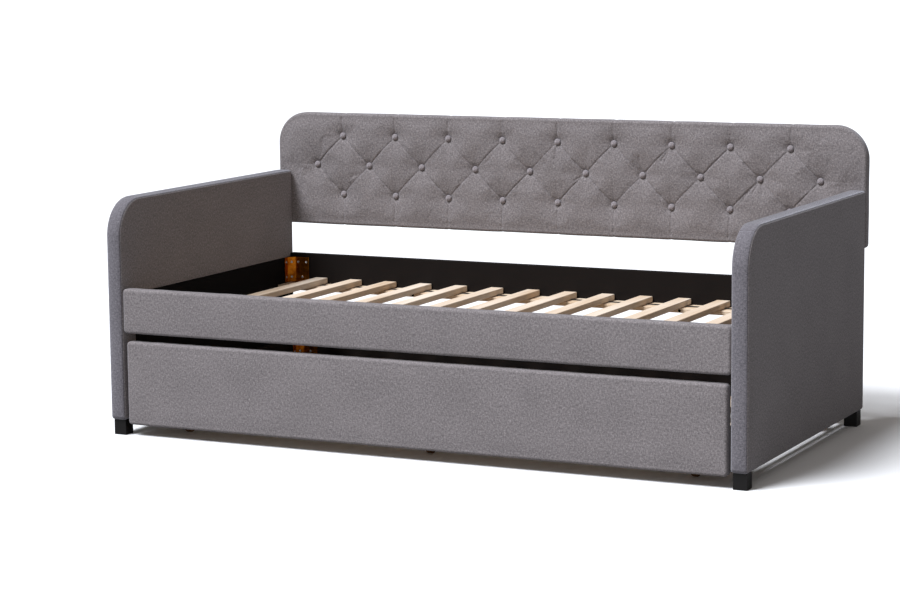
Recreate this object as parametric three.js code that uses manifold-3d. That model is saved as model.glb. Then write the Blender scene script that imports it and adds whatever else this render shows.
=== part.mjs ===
// Upholstered daybed with a pull-out trundle on six casters.
// Millimetres. X runs along the bed, Y from the front to the back, and Z up.
// The origin is on the floor, under the middle of the whole daybed.

import * as THREE from 'three';
import { mergeVertices } from 'three/addons/utils/BufferGeometryUtils.js';
import Module from 'manifold-3d';

const wasm = await Module();
wasm.setup();

// ---- driving dimensions ----

const WIDTH = 2080;               // outside of one arm to outside of the other
const GAP = 0.3;                  // left between pieces that touch
const PADDING = 8;                // foam and fabric over a board

const ARM_DEPTH = 1072;
const ARM_THICKNESS = 51;
const ARM_TOP = 732;
const ARM_BOTTOM = 48;            // height of the legs
const ARM_CORNER_RADIUS = 115;    // front top corner
const ARM_EDGE_ROUND = 5;
const FABRIC_RETURN = 72;         // fabric wraps this far round the front, inside
const LINING_TOP = 436.5;         // black lining below it, fabric above

const BACKREST_THICKNESS = 39.7;
const BACKREST_BOTTOM = 550;
const BACKREST_TOP = 929;
const BACKREST_CORNER_RADIUS = 105;
const BACKREST_FOOT_RADIUS = 12;
const BACKREST_EDGE_ROUND = 8;
const BACKREST_BOARD = 15;
const BACKREST_BOARD_INSET = 14;

const DEPTH = ARM_DEPTH + GAP + BACKREST_THICKNESS;

const RAIL_SETBACK = 3;           // front rail and trundle front, behind the arms' faces
const RAIL_BOTTOM = 320;
const RAIL_TOP = 458;
const RAIL_THICKNESS = 38;
const RAIL_EDGE_ROUND = 6;

const BACK_RAIL_BOTTOM = 322;
const BACK_RAIL_TOP = 449;
const BACK_RAIL_THICKNESS = 24;

const LEDGER_DEPTH = 92;
const LEDGER_BOTTOM = 335;
const LEDGER_TOP = 349;

const SLAT_COUNT = 14;
const SLAT_PITCH = 132;
const SLAT_WIDTH = 45;
const SLAT_THICKNESS = 19;
const SLAT_BOTTOM = 350.6;        // the slat straps lie between slat and ledger
const SLAT_END_ROOM = 1.5;
const SLAT_ROW_SHIFT = -7;        // the row lies a little towards the left arm

const LEG_SIZE = 42;
const LEG_SETBACK = 11;

const BRACKET_PLATE = 2.5;
const BRACKET_ARM_LEAF = 18;
const BRACKET_WEB = 22;
const BRACKET_RAIL_LEAF = 51;
const BRACKET_BOTTOM = 351;
const BRACKET_HEIGHT = 85;

const TRUNDLE_FRONT_WIDTH = 1958;
const TRUNDLE_FRONT_BOTTOM = 35;
const TRUNDLE_FRONT_TOP = 295;
const TRUNDLE_FRONT_THICKNESS = 35;
const TRUNDLE_BOX_WIDTH = 1930.6;
const TRUNDLE_BACK = 1047;        // behind the arms' front faces
const TRUNDLE_SIDE_BOARD = 12;
const TRUNDLE_BACK_BOARD = 15;
const TRUNDLE_BOARD_BOTTOM = 36;
const TRUNDLE_BOARD_TOP = 162;
const TRUNDLE_BRACKET_BOTTOM = 104;
const TRUNDLE_BRACKET_HEIGHT = 54;

const BEARER_WIDTH = 60;
const BEARER_THICKNESS = 22;
const BEARER_BOTTOM = 62;
const DECK_SLAT_THICKNESS = 18;
const DECK_TAPE_WIDTH = 20;
const DECK_TAPE_THICKNESS = 1.2;
const DECK_TAPE_OFFSET = 92;      // from the middle of a bearer

const WHEEL_RADIUS = 25;
const WHEEL_WIDTH = 18;
const WHEEL_EDGE = 2.5;
const WHEEL_SEGMENTS = 32;
const AXLE_RADIUS = 4;
const AXLE_SEGMENTS = 16;
const WHEEL_SPACING = 838;        // between neighbouring casters, along X
const FRONT_WHEEL = 138;          // behind the arms' front faces
const REAR_WHEEL = 905;
const FORK_ROOM = 1;              // between wheel and cheek
const FORK_CHEEK = 3;
const FORK_TOP_HALF = 16;
const FORK_EYE_RADIUS = 9;
const CASTER_PLATE = [40, 56, 3];

// ---- values that follow from them ----

const FRONT = -DEPTH / 2;
const INNER_HALF = WIDTH / 2 - ARM_THICKNESS;
const RAIL_INSIDE = RAIL_SETBACK + RAIL_THICKNESS;
const BACK_RAIL_INSIDE = ARM_DEPTH - BACK_RAIL_THICKNESS;
const TRUNDLE_INNER_HALF = TRUNDLE_BOX_WIDTH / 2 - TRUNDLE_SIDE_BOARD;
const TRUNDLE_FRONT_INSIDE = RAIL_SETBACK + TRUNDLE_FRONT_THICKNESS;
const TRUNDLE_BACK_INSIDE = TRUNDLE_BACK - TRUNDLE_BACK_BOARD;
const DECK_BOTTOM = BEARER_BOTTOM + BEARER_THICKNESS + GAP;
const BOTH_SIDES = [['left', -1], ['right', 1]];

const daybed = new THREE.Group();

// ---- finishes ----

const FINISHES = {
  fabric: { color: 0x807d82, roughness: 0.95, metalness: 0 },
  lining: { color: 0x16120f, roughness: 0.9, metalness: 0 },
  blackBoard: { color: 0x1b1614, roughness: 0.7, metalness: 0 },
  plywood: { color: 0xc9ab80, roughness: 0.8, metalness: 0 },
  slatWood: { color: 0xe1d3bd, roughness: 0.75, metalness: 0 },
  leg: { color: 0x100e0d, roughness: 0.5, metalness: 0 },
  yellowZinc: { color: 0xb07a2c, roughness: 0.4, metalness: 0.9 },
  casterSteel: { color: 0x8f9093, roughness: 0.45, metalness: 0.9 },
  wheel: { color: 0x5a4236, roughness: 0.6, metalness: 0 },
};

// ---- helpers ----

// A named piece in one of the finishes.
function add(name, finish, geometry) {
  const mesh = new THREE.Mesh(geometry, new THREE.MeshStandardMaterial(FINISHES[finish]));
  mesh.name = name;
  daybed.add(mesh);
  return mesh;
}

// A plain box between limits in X, in depth behind the arms' front faces, and in Z.
function boxBetween([x0, x1], [d0, d1], [z0, z1]) {
  const box = new THREE.BoxGeometry(x1 - x0, d1 - d0, z1 - z0);
  return box.translate((x0 + x1) / 2, FRONT + (d0 + d1) / 2, (z0 + z1) / 2);
}

function addBoard(name, finish, xRange, depthRange, zRange) {
  return add(name, finish, boxBetween(xRange, depthRange, zRange));
}

// The limits on one side of the bed: side is -1 on the left and 1 on the right.
function mirrored(side, inner, outer) {
  return side < 0 ? [-outer, -inner] : [inner, outer];
}

function toSolid(geometry) {
  const bare = geometry.clone();
  bare.deleteAttribute('normal');
  bare.deleteAttribute('uv');
  const merged = mergeVertices(bare, 1e-4);
  const vertProperties = new Float32Array(merged.attributes.position.array);
  const triVerts = new Uint32Array(merged.index.array);
  return new wasm.Manifold(new wasm.Mesh({ numProp: 3, vertProperties, triVerts }));
}

function toGeometry(solid) {
  const mesh = solid.getMesh();
  const geometry = new THREE.BufferGeometry();
  geometry.setAttribute('position', new THREE.BufferAttribute(mesh.vertProperties, 3));
  geometry.setIndex(new THREE.BufferAttribute(mesh.triVerts, 1));
  return geometry;
}

function cut(geometry, ...tools) {
  return toGeometry(tools.reduce((rest, tool) => rest.subtract(toSolid(tool)), toSolid(geometry)));
}

function join(...geometries) {
  return toGeometry(geometries.map(toSolid).reduce((sum, next) => sum.add(next)));
}

// Extrudes an outline drawn in depth and Z along X, centred on x = middle.
// A round of some size turns the edges and takes the outline outwards by as much.
function extrudeAlongX(outline, thickness, middle, round = 0) {
  const settings = {
    depth: thickness - 2 * round,
    bevelEnabled: round > 0,
    bevelSize: round,
    bevelThickness: round,
    bevelSegments: 3,
    curveSegments: 12,
  };
  const geometry = new THREE.ExtrudeGeometry(outline, settings);
  geometry.translate(0, 0, -settings.depth / 2);
  const depth = new THREE.Vector3(0, 1, 0);
  const up = new THREE.Vector3(0, 0, 1);
  const along = new THREE.Vector3(1, 0, 0);
  geometry.applyMatrix4(new THREE.Matrix4().makeBasis(depth, up, along));
  return geometry.translate(middle, FRONT, 0);
}

// Extrudes an outline drawn in X and Z forwards, from d1 behind the arms' front faces to d0.
function extrudeAlongY(outline, d0, d1, round = 0) {
  const settings = {
    depth: d1 - d0 - 2 * round,
    bevelEnabled: round > 0,
    bevelSize: round,
    bevelThickness: round,
    bevelSegments: 3,
    curveSegments: 12,
  };
  const geometry = new THREE.ExtrudeGeometry(outline, settings);
  const right = new THREE.Vector3(1, 0, 0);
  const up = new THREE.Vector3(0, 0, 1);
  const forwards = new THREE.Vector3(0, -1, 0);
  geometry.applyMatrix4(new THREE.Matrix4().makeBasis(right, up, forwards));
  return geometry.translate(0, FRONT + d1 - round, 0);
}

// ---- arms ----

// Side view of an arm, drawn smaller by inset all round. The front top corner is round.
function armOutline(inset, bottom) {
  const front = inset;
  const back = ARM_DEPTH - inset;
  const top = ARM_TOP - inset;
  const radius = ARM_CORNER_RADIUS - inset;
  const outline = new THREE.Shape();
  outline.moveTo(front, bottom);
  outline.lineTo(back, bottom);
  outline.lineTo(back, top);
  outline.lineTo(front + radius, top);
  outline.absarc(front + radius, top - radius, radius, Math.PI / 2, Math.PI, false);
  return outline;
}

// The padded cover is open below, round a wooden core. A black lining fills the
// window in its inner face, under the mattress.
function addArm(side, name) {
  const middle = side * (WIDTH - ARM_THICKNESS) / 2;
  const round = ARM_EDGE_ROUND;
  const body = extrudeAlongX(armOutline(round, ARM_BOTTOM + round), ARM_THICKNESS, middle, round);
  const hollow = armOutline(PADDING, ARM_BOTTOM - PADDING);
  const cavity = extrudeAlongX(hollow, ARM_THICKNESS - 2 * PADDING, middle);
  const window = boxBetween(
    mirrored(side, INNER_HALF - PADDING, INNER_HALF + PADDING + GAP),
    [FABRIC_RETURN, ARM_DEPTH - PADDING],
    [ARM_BOTTOM - PADDING, LINING_TOP],
  );
  add(`${name}_arm_cover`, 'fabric', cut(body, cavity, window));

  const coreThickness = ARM_THICKNESS - 2 * (PADDING + GAP);
  const core = armOutline(PADDING + GAP, ARM_BOTTOM);
  add(`${name}_arm_core`, 'plywood', extrudeAlongX(core, coreThickness, middle));

  addBoard(
    `${name}_arm_lining`,
    'lining',
    mirrored(side, INNER_HALF, INNER_HALF + PADDING),
    [FABRIC_RETURN + GAP, ARM_DEPTH - PADDING - GAP],
    [ARM_BOTTOM, LINING_TOP - GAP],
  );
}

// ---- rails ----

// Section of the front rail's cover: a channel, open towards the back, with round front edges.
function railCoverSection() {
  const round = RAIL_EDGE_ROUND;
  const section = new THREE.Shape();
  section.moveTo(RAIL_INSIDE, RAIL_BOTTOM);
  section.lineTo(RAIL_INSIDE, RAIL_BOTTOM + PADDING);
  section.lineTo(RAIL_SETBACK + PADDING, RAIL_BOTTOM + PADDING);
  section.lineTo(RAIL_SETBACK + PADDING, RAIL_TOP - PADDING);
  section.lineTo(RAIL_INSIDE, RAIL_TOP - PADDING);
  section.lineTo(RAIL_INSIDE, RAIL_TOP);
  section.lineTo(RAIL_SETBACK + round, RAIL_TOP);
  section.absarc(RAIL_SETBACK + round, RAIL_TOP - round, round, Math.PI / 2, Math.PI, false);
  section.lineTo(RAIL_SETBACK, RAIL_BOTTOM + round);
  section.absarc(RAIL_SETBACK + round, RAIL_BOTTOM + round, round, Math.PI, 1.5 * Math.PI, false);
  return section;
}

function addRails() {
  const half = INNER_HALF - GAP;
  add('front_rail_cover', 'fabric', extrudeAlongX(railCoverSection(), 2 * half, 0));
  addBoard(
    'front_rail_board',
    'plywood',
    [-half, half],
    [RAIL_SETBACK + PADDING + GAP, RAIL_INSIDE],
    [RAIL_BOTTOM + PADDING + GAP, RAIL_TOP - PADDING - GAP],
  );
  addBoard(
    'back_rail',
    'blackBoard',
    [-half, half],
    [BACK_RAIL_INSIDE, ARM_DEPTH],
    [BACK_RAIL_BOTTOM, BACK_RAIL_TOP],
  );
}

// ---- backrest ----

// Front view of the backrest, drawn smaller by inset all round.
function backrestOutline(inset) {
  const half = WIDTH / 2 - inset;
  const bottom = BACKREST_BOTTOM + inset;
  const top = BACKREST_TOP - inset;
  const shoulder = BACKREST_CORNER_RADIUS - inset;
  const foot = Math.max(BACKREST_FOOT_RADIUS - inset, 1);
  const outline = new THREE.Shape();
  outline.moveTo(-half + foot, bottom);
  outline.lineTo(half - foot, bottom);
  outline.absarc(half - foot, bottom + foot, foot, -Math.PI / 2, 0, false);
  outline.lineTo(half, top - shoulder);
  outline.absarc(half - shoulder, top - shoulder, shoulder, 0, Math.PI / 2, false);
  outline.lineTo(-half + shoulder, top);
  outline.absarc(-half + shoulder, top - shoulder, shoulder, Math.PI / 2, Math.PI, false);
  outline.lineTo(-half, bottom + foot);
  outline.absarc(-half + foot, bottom + foot, foot, Math.PI, 1.5 * Math.PI, false);
  return outline;
}

// The cushion wraps the edges of a board that is let into its back.
function addBackrest() {
  const front = ARM_DEPTH + GAP;
  const back = front + BACKREST_THICKNESS;
  const boardFront = back - BACKREST_BOARD;
  const round = BACKREST_EDGE_ROUND;
  const body = extrudeAlongY(backrestOutline(round), front, back, round);
  const recess = extrudeAlongY(backrestOutline(BACKREST_BOARD_INSET), boardFront - GAP, back + PADDING);
  add('backrest_cushion', 'fabric', cut(body, recess));
  const board = backrestOutline(BACKREST_BOARD_INSET + GAP);
  add('backrest_board', 'plywood', extrudeAlongY(board, boardFront, back));
}

// ---- slats, ledgers and legs ----

function addLedgers() {
  const half = INNER_HALF - 2;
  const zRange = [LEDGER_BOTTOM, LEDGER_TOP];
  const rearFront = BACK_RAIL_INSIDE - GAP - LEDGER_DEPTH;
  const frontRange = [RAIL_INSIDE + GAP, RAIL_INSIDE + GAP + LEDGER_DEPTH];
  addBoard('front_ledger', 'slatWood', [-half, half], frontRange, zRange);
  addBoard('rear_ledger', 'slatWood', [-half, half], [rearFront, rearFront + LEDGER_DEPTH], zRange);
}

function addSlats() {
  const first = SLAT_ROW_SHIFT - SLAT_PITCH * (SLAT_COUNT - 1) / 2;
  const depthRange = [RAIL_INSIDE + SLAT_END_ROOM, BACK_RAIL_INSIDE - SLAT_END_ROOM];
  const zRange = [SLAT_BOTTOM, SLAT_BOTTOM + SLAT_THICKNESS];
  for (let i = 0; i < SLAT_COUNT; i += 1) {
    const x = first + i * SLAT_PITCH;
    const name = `slat_${String(i + 1).padStart(2, '0')}`;
    addBoard(name, 'slatWood', [x - SLAT_WIDTH / 2, x + SLAT_WIDTH / 2], depthRange, zRange);
  }
}

function addLegs() {
  const middle = (WIDTH - ARM_THICKNESS) / 2;
  const ends = [
    ['front', LEG_SETBACK],
    ['back', ARM_DEPTH - LEG_SETBACK - LEG_SIZE],
  ];
  for (const [end, depth] of ends) {
    for (const [name, side] of BOTH_SIDES) {
      const xRange = mirrored(side, middle - LEG_SIZE / 2, middle + LEG_SIZE / 2);
      addBoard(`leg_${end}_${name}`, 'leg', xRange, [depth, depth + LEG_SIZE], [0, ARM_BOTTOM - GAP]);
    }
  }
}

// ---- corner brackets ----

// Plan of a bracket in the corner at (x, depth): a short leaf along the side, a web
// across the corner and a long leaf along the rail. side and towards point inwards.
function bracketOutline(x, depth, side, towards) {
  const turn = BRACKET_PLATE * Math.tan(Math.PI / 8);
  const armEnd = BRACKET_WEB + BRACKET_ARM_LEAF;
  const railEnd = BRACKET_WEB + BRACKET_RAIL_LEAF;
  const points = [
    [0, armEnd],
    [0, BRACKET_WEB],
    [BRACKET_WEB, 0],
    [railEnd, 0],
    [railEnd, BRACKET_PLATE],
    [BRACKET_WEB + turn, BRACKET_PLATE],
    [BRACKET_PLATE, BRACKET_WEB + turn],
    [BRACKET_PLATE, armEnd],
  ];
  return new THREE.Shape(points.map(([u, v]) => (
    new THREE.Vector2(x + side * (u + GAP), FRONT + depth + towards * (v + GAP))
  )));
}

function addBrackets(prefix, halfWidth, frontDepth, backDepth, bottom, height) {
  for (const [end, depth, towards] of [['front', frontDepth, 1], ['back', backDepth, -1]]) {
    for (const [name, side] of BOTH_SIDES) {
      const outline = bracketOutline(side * halfWidth, depth, -side, towards);
      const plate = new THREE.ExtrudeGeometry(outline, { depth: height, bevelEnabled: false });
      const bracket = add(`${prefix}bracket_${end}_${name}`, 'yellowZinc', plate);
      bracket.position.z = bottom;
    }
  }
}

// ---- trundle box ----

function trundleFrontOutline(inset) {
  const half = TRUNDLE_FRONT_WIDTH / 2 - inset;
  const bottom = TRUNDLE_FRONT_BOTTOM + inset;
  const top = TRUNDLE_FRONT_TOP - inset;
  const outline = new THREE.Shape();
  outline.moveTo(-half, bottom);
  outline.lineTo(half, bottom);
  outline.lineTo(half, top);
  outline.lineTo(-half, top);
  return outline;
}

function addTrundleFront() {
  const front = RAIL_SETBACK;
  const back = TRUNDLE_FRONT_INSIDE;
  const round = RAIL_EDGE_ROUND;
  const body = extrudeAlongY(trundleFrontOutline(round), front, back, round);
  const recess = extrudeAlongY(trundleFrontOutline(PADDING), front + PADDING, back + PADDING);
  add('trundle_front_cover', 'fabric', cut(body, recess));
  const board = trundleFrontOutline(PADDING + GAP);
  add('trundle_front_board', 'plywood', extrudeAlongY(board, front + PADDING + GAP, back));
}

function addTrundleBox() {
  const outer = TRUNDLE_BOX_WIDTH / 2;
  const depthRange = [TRUNDLE_FRONT_INSIDE + GAP, TRUNDLE_BACK_INSIDE - GAP];
  const zRange = [TRUNDLE_BOARD_BOTTOM, TRUNDLE_BOARD_TOP];
  for (const [name, side] of BOTH_SIDES) {
    const xRange = mirrored(side, TRUNDLE_INNER_HALF, outer);
    addBoard(`trundle_${name}_side`, 'blackBoard', xRange, depthRange, zRange);
  }
  addBoard('trundle_back_board', 'blackBoard', [-outer, outer], [TRUNDLE_BACK_INSIDE, TRUNDLE_BACK], zRange);
}

function addBearers() {
  const half = TRUNDLE_INNER_HALF - GAP;
  const zRange = [BEARER_BOTTOM, BEARER_BOTTOM + BEARER_THICKNESS];
  for (const [name, depth] of [['front', FRONT_WHEEL], ['rear', REAR_WHEEL]]) {
    const depthRange = [depth - BEARER_WIDTH / 2, depth + BEARER_WIDTH / 2];
    addBoard(`trundle_${name}_bearer`, 'slatWood', [-half, half], depthRange, zRange);
  }
}

// The trundle's slats are stapled to two tapes, which make them one roll.
function addTrundleSlats() {
  const reach = SLAT_PITCH * (SLAT_COUNT - 1) / 2;
  const depthRange = [TRUNDLE_FRONT_INSIDE + SLAT_END_ROOM, TRUNDLE_BACK_INSIDE - SLAT_END_ROOM];
  const pieces = [];
  for (let i = 0; i < SLAT_COUNT; i += 1) {
    const x = i * SLAT_PITCH - reach;
    const xRange = [x - SLAT_WIDTH / 2, x + SLAT_WIDTH / 2];
    pieces.push(boxBetween(xRange, depthRange, [DECK_BOTTOM, DECK_BOTTOM + DECK_SLAT_THICKNESS]));
  }
  for (const depth of [FRONT_WHEEL + DECK_TAPE_OFFSET, REAR_WHEEL - DECK_TAPE_OFFSET]) {
    const tapeDepth = [depth - DECK_TAPE_WIDTH / 2, depth + DECK_TAPE_WIDTH / 2];
    pieces.push(boxBetween([-reach, reach], tapeDepth, [DECK_BOTTOM, DECK_BOTTOM + DECK_TAPE_THICKNESS]));
  }
  add('trundle_slat_roll', 'slatWood', join(...pieces));
}

// ---- casters ----

// One cheek of the fork: a plate that narrows to a round eye about the axle.
function cheekOutline(depth) {
  const outline = new THREE.Shape();
  outline.moveTo(depth + FORK_TOP_HALF, BEARER_BOTTOM - CASTER_PLATE[2]);
  outline.lineTo(depth - FORK_TOP_HALF, BEARER_BOTTOM - CASTER_PLATE[2]);
  outline.lineTo(depth - FORK_EYE_RADIUS, WHEEL_RADIUS);
  outline.absarc(depth, WHEEL_RADIUS, FORK_EYE_RADIUS, Math.PI, 2 * Math.PI, false);
  return outline;
}

function casterHousing(x, depth) {
  const [plateWidth, plateDepth, plateThickness] = CASTER_PLATE;
  const cheekInside = WHEEL_WIDTH / 2 + FORK_ROOM;
  const plateTop = BEARER_BOTTOM - GAP;
  const plate = boxBetween(
    [x - plateWidth / 2, x + plateWidth / 2],
    [depth - plateDepth / 2, depth + plateDepth / 2],
    [plateTop - plateThickness, plateTop],
  );
  const outline = cheekOutline(depth);
  const cheeks = [-1, 1].map((side) => (
    extrudeAlongX(outline, FORK_CHEEK, x + side * (cheekInside + FORK_CHEEK / 2))
  ));
  const axleLength = 2 * (cheekInside + FORK_CHEEK);
  const axle = new THREE.CylinderGeometry(AXLE_RADIUS, AXLE_RADIUS, axleLength, AXLE_SEGMENTS);
  axle.rotateZ(Math.PI / 2);
  axle.translate(x, FRONT + depth, WHEEL_RADIUS);
  return join(plate, ...cheeks, axle);
}

// A wheel turned about its axle, with chamfered rims and a running bore.
function wheelGeometry() {
  const half = WHEEL_WIDTH / 2;
  const bore = AXLE_RADIUS + GAP;
  const profile = [
    [bore, -half],
    [WHEEL_RADIUS - WHEEL_EDGE, -half],
    [WHEEL_RADIUS, -half + WHEEL_EDGE],
    [WHEEL_RADIUS, half - WHEEL_EDGE],
    [WHEEL_RADIUS - WHEEL_EDGE, half],
    [bore, half],
    [bore, -half],
  ];
  const points = profile.map(([radius, along]) => new THREE.Vector2(radius, along));
  return new THREE.LatheGeometry(points, WHEEL_SEGMENTS);
}

function addCasters() {
  for (const [row, depth] of [['front', FRONT_WHEEL], ['rear', REAR_WHEEL]]) {
    for (const [name, place] of [['left', -1], ['centre', 0], ['right', 1]]) {
      const x = place * WHEEL_SPACING;
      add(`caster_${row}_${name}`, 'casterSteel', casterHousing(x, depth));
      const wheel = add(`wheel_${row}_${name}`, 'wheel', wheelGeometry());
      wheel.rotation.z = -Math.PI / 2;
      wheel.position.set(x, FRONT + depth, WHEEL_RADIUS);
    }
  }
}

// ---- assembly ----

for (const [name, side] of BOTH_SIDES) {
  addArm(side, name);
}
addRails();
addBackrest();
addLedgers();
addSlats();
addLegs();
addBrackets('', INNER_HALF, RAIL_INSIDE, BACK_RAIL_INSIDE, BRACKET_BOTTOM, BRACKET_HEIGHT);
addTrundleFront();
addTrundleBox();
addBearers();
addTrundleSlats();
addBrackets(
  'trundle_',
  TRUNDLE_INNER_HALF,
  TRUNDLE_FRONT_INSIDE,
  TRUNDLE_BACK_INSIDE,
  TRUNDLE_BRACKET_BOTTOM,
  TRUNDLE_BRACKET_HEIGHT,
);
addCasters();

export default daybed;
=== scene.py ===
# %% [markdown]
# # A tufted daybed with a pull-out trundle
#
# The bed is two upholstered arms, a backrest with three rows of buttons, an upholstered front
# rail and a deck of poplar slats. Under it stands a trundle on six casters, with a deck of its
# own. The frame that is loaded first has every board, slat, bracket and caster at its real size.
# This lesson keeps those that are right, gives each a finish, and replaces the padded ones by
# pieces with rounded edges, seams, hems and folds.
#
# Lengths are metres. X runs along the bed, Y from the front to the back, and Z up.

# %% Load the frame
import math

import bmesh
import bpy
import numpy as np
from mathutils import Matrix, Vector


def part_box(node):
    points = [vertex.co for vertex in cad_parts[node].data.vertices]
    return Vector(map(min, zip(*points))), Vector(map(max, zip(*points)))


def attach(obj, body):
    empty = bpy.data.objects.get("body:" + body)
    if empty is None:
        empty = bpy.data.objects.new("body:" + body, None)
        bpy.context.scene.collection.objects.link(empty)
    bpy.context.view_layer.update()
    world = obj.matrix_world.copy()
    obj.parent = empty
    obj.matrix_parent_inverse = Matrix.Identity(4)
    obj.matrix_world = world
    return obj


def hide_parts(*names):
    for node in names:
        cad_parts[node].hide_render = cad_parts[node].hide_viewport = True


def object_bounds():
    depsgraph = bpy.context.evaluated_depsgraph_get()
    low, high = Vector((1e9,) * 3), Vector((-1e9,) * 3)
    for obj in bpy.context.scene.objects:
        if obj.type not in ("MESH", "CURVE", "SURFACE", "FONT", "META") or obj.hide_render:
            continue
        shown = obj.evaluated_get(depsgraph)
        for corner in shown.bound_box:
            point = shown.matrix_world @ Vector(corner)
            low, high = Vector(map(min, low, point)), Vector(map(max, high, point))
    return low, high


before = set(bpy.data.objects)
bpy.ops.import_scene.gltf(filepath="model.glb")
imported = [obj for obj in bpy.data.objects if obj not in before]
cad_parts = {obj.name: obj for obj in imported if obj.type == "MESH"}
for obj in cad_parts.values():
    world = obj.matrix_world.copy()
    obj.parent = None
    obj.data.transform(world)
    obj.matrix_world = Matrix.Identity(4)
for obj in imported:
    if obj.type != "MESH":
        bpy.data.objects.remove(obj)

MM = 0.001
cad_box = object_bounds()
print("frame:", len(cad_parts), "nodes, size", [round(v, 3) for v in cad_box[1] - cad_box[0]])

# %% [markdown]
# ## Camera
#
# The view is from the right of the bed and a little above it, with a long lens from about eight
# metres, so that the parallel edges stay nearly parallel. A camera looks along its own -Z.
# Turning it about the upright first, then dipping it, then rolling it about the line of sight
# keeps the three angles independent.

# %% Camera
CAMERA_PLACE = Vector((3.385, -7.173, 1.542))
CAMERA_TURN = math.radians(26.16)
CAMERA_DIP = math.radians(8.17)
CAMERA_ROLL = math.radians(-0.58)
CAMERA_LENS = 103.5

camera = bpy.data.objects.new("camera", bpy.data.cameras.new("camera"))
bpy.context.scene.collection.objects.link(camera)
camera.data.lens = CAMERA_LENS
camera.matrix_world = (
    Matrix.Translation(CAMERA_PLACE)
    @ Matrix.Rotation(CAMERA_TURN, 4, "Z")
    @ Matrix.Rotation(math.pi / 2 - CAMERA_DIP, 4, "X")
    @ Matrix.Rotation(CAMERA_ROLL, 4, "Z")
)
bpy.context.scene.camera = camera
print("camera:", round(CAMERA_PLACE.length, 2), "m from the bed, lens", CAMERA_LENS, "mm")

# %% [markdown]
# ## Small tools for materials
#
# A finish is a graph of nodes. Colours are written the way a paint chart gives them, as sRGB
# hex, but the shader works in linear light, so one function turns the one into the other. One
# more adds a node: it takes the node's own settings, and the sockets' values or links.

# %% Material tools
def linear(code):
    """sRGB hex to linear RGBA: c / 12.92 below 0.04045, else ((c + 0.055) / 1.055) to the 2.4."""
    shares = np.array([int(code[i:i + 2], 16) for i in (0, 2, 4)]) / 255
    light = np.where(shares <= 0.04045, shares / 12.92, ((shares + 0.055) / 1.055) ** 2.4)
    return (*light.tolist(), 1.0)


def add_node(tree, kind, inputs=None, **settings):
    """Adds a node, and returns it. A socket that is given another socket is linked to it."""
    node = tree.nodes.new(kind)
    for name, value in settings.items():
        setattr(node, name, value)
    for key, value in (inputs or {}).items():
        socket = node.inputs[key]
        if isinstance(value, bpy.types.NodeSocket):
            tree.links.new(value, socket)
        else:
            socket.default_value = value
    return node


def new_finish(name, **sockets):
    """A material, its node tree and its shader, with the shader's constant sockets set."""
    material = bpy.data.materials.new(name)
    material.use_nodes = True
    tree = material.node_tree
    surface = tree.nodes["Principled BSDF"]
    for key, value in sockets.items():
        surface.inputs[key.replace("_", " ")].default_value = value
    return material, tree, surface


# Sockets of the Mix node when it mixes colours, and when it mixes numbers.
COLOUR_A, COLOUR_B, COLOUR_OUT = 6, 7, 2
NUMBER_A, NUMBER_B, NUMBER_OUT = 2, 3, 0

# %% [markdown]
# ## Light and floor
#
# A furniture studio lights a bed with one large softbox overhead, a little to the front and the
# left, and lets pale walls fill the rest. That makes the tops brightest, the fronts middling and
# the right-hand sides dark, and keeps the shadow on the floor close to the bed. A softbox that is
# far away lights both ends of the bed alike, as a sun light with a wide angle does. A weaker one
# in front, beside the camera, lifts the fronts. The walls are the world's even, slightly warm
# glow, and the backdrop is seen white without lighting the bed as strongly as it looks.

# %% Light and floor
KEY_WAY = Vector((0.3, 0.47, -0.83))       # the way its light travels
KEY_ANGLE = math.radians(26)
KEY_DISTANCE = 8.0            # of its symbol only: a sun light is equally strong everywhere
KEY_STRENGTH = 4.9
KEY_TONE = "f4f8ff"           # a little cooler than the walls
FILL_PLACE = Vector((3.0, -7.2, 1.6))
FILL_SIZE = 3.0
FILL_POWER = 65
WALL_GLOW = 0.2
WALL_TONE = "fff8f4"
FLOOR_BOUNCE = "868686"        # the grey by which the floor lights the bed
FLOOR_PAINT = "fafafa"         # the white that is seen
FLOOR_HALF = 60.0
FLOOR_DROP = 0.3 * MM

bed_middle = (cad_box[0] + cad_box[1]) / 2


def add_light(name, kind, place, way):
    """A light of a kind at a place, that shines along a way."""
    light = bpy.data.objects.new(name, bpy.data.lights.new(name, kind))
    light.location = place
    light.rotation_euler = way.to_track_quat("-Z", "Y").to_euler()
    bpy.context.scene.collection.objects.link(light)
    return light


key = add_light("key_softbox", "SUN", bed_middle - KEY_DISTANCE * KEY_WAY, KEY_WAY)
key.data.angle = KEY_ANGLE
key.data.energy = KEY_STRENGTH
key.data.color = linear(KEY_TONE)[:3]
fill = add_light("fill_softbox", "AREA", FILL_PLACE, bed_middle - FILL_PLACE)
fill.data.size = FILL_SIZE
fill.data.energy = FILL_POWER

world = bpy.data.worlds.new("studio")
world.use_nodes = True
bpy.context.scene.world = world
glow = world.node_tree.nodes["Background"]
glow.inputs["Color"].default_value = linear(WALL_TONE)
glow.inputs["Strength"].default_value = WALL_GLOW
backdrop = add_node(world.node_tree, "ShaderNodeBackground", {0: linear("ffffff"), 1: 1.0})
rays = add_node(world.node_tree, "ShaderNodeLightPath")
choice = add_node(
    world.node_tree,
    "ShaderNodeMixShader",
    {0: rays.outputs["Is Camera Ray"], 1: glow.outputs[0], 2: backdrop.outputs[0]},
)
world.node_tree.links.new(choice.outputs[0], world.node_tree.nodes["World Output"].inputs[0])
bpy.context.scene.view_settings.view_transform = "Standard"

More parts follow.
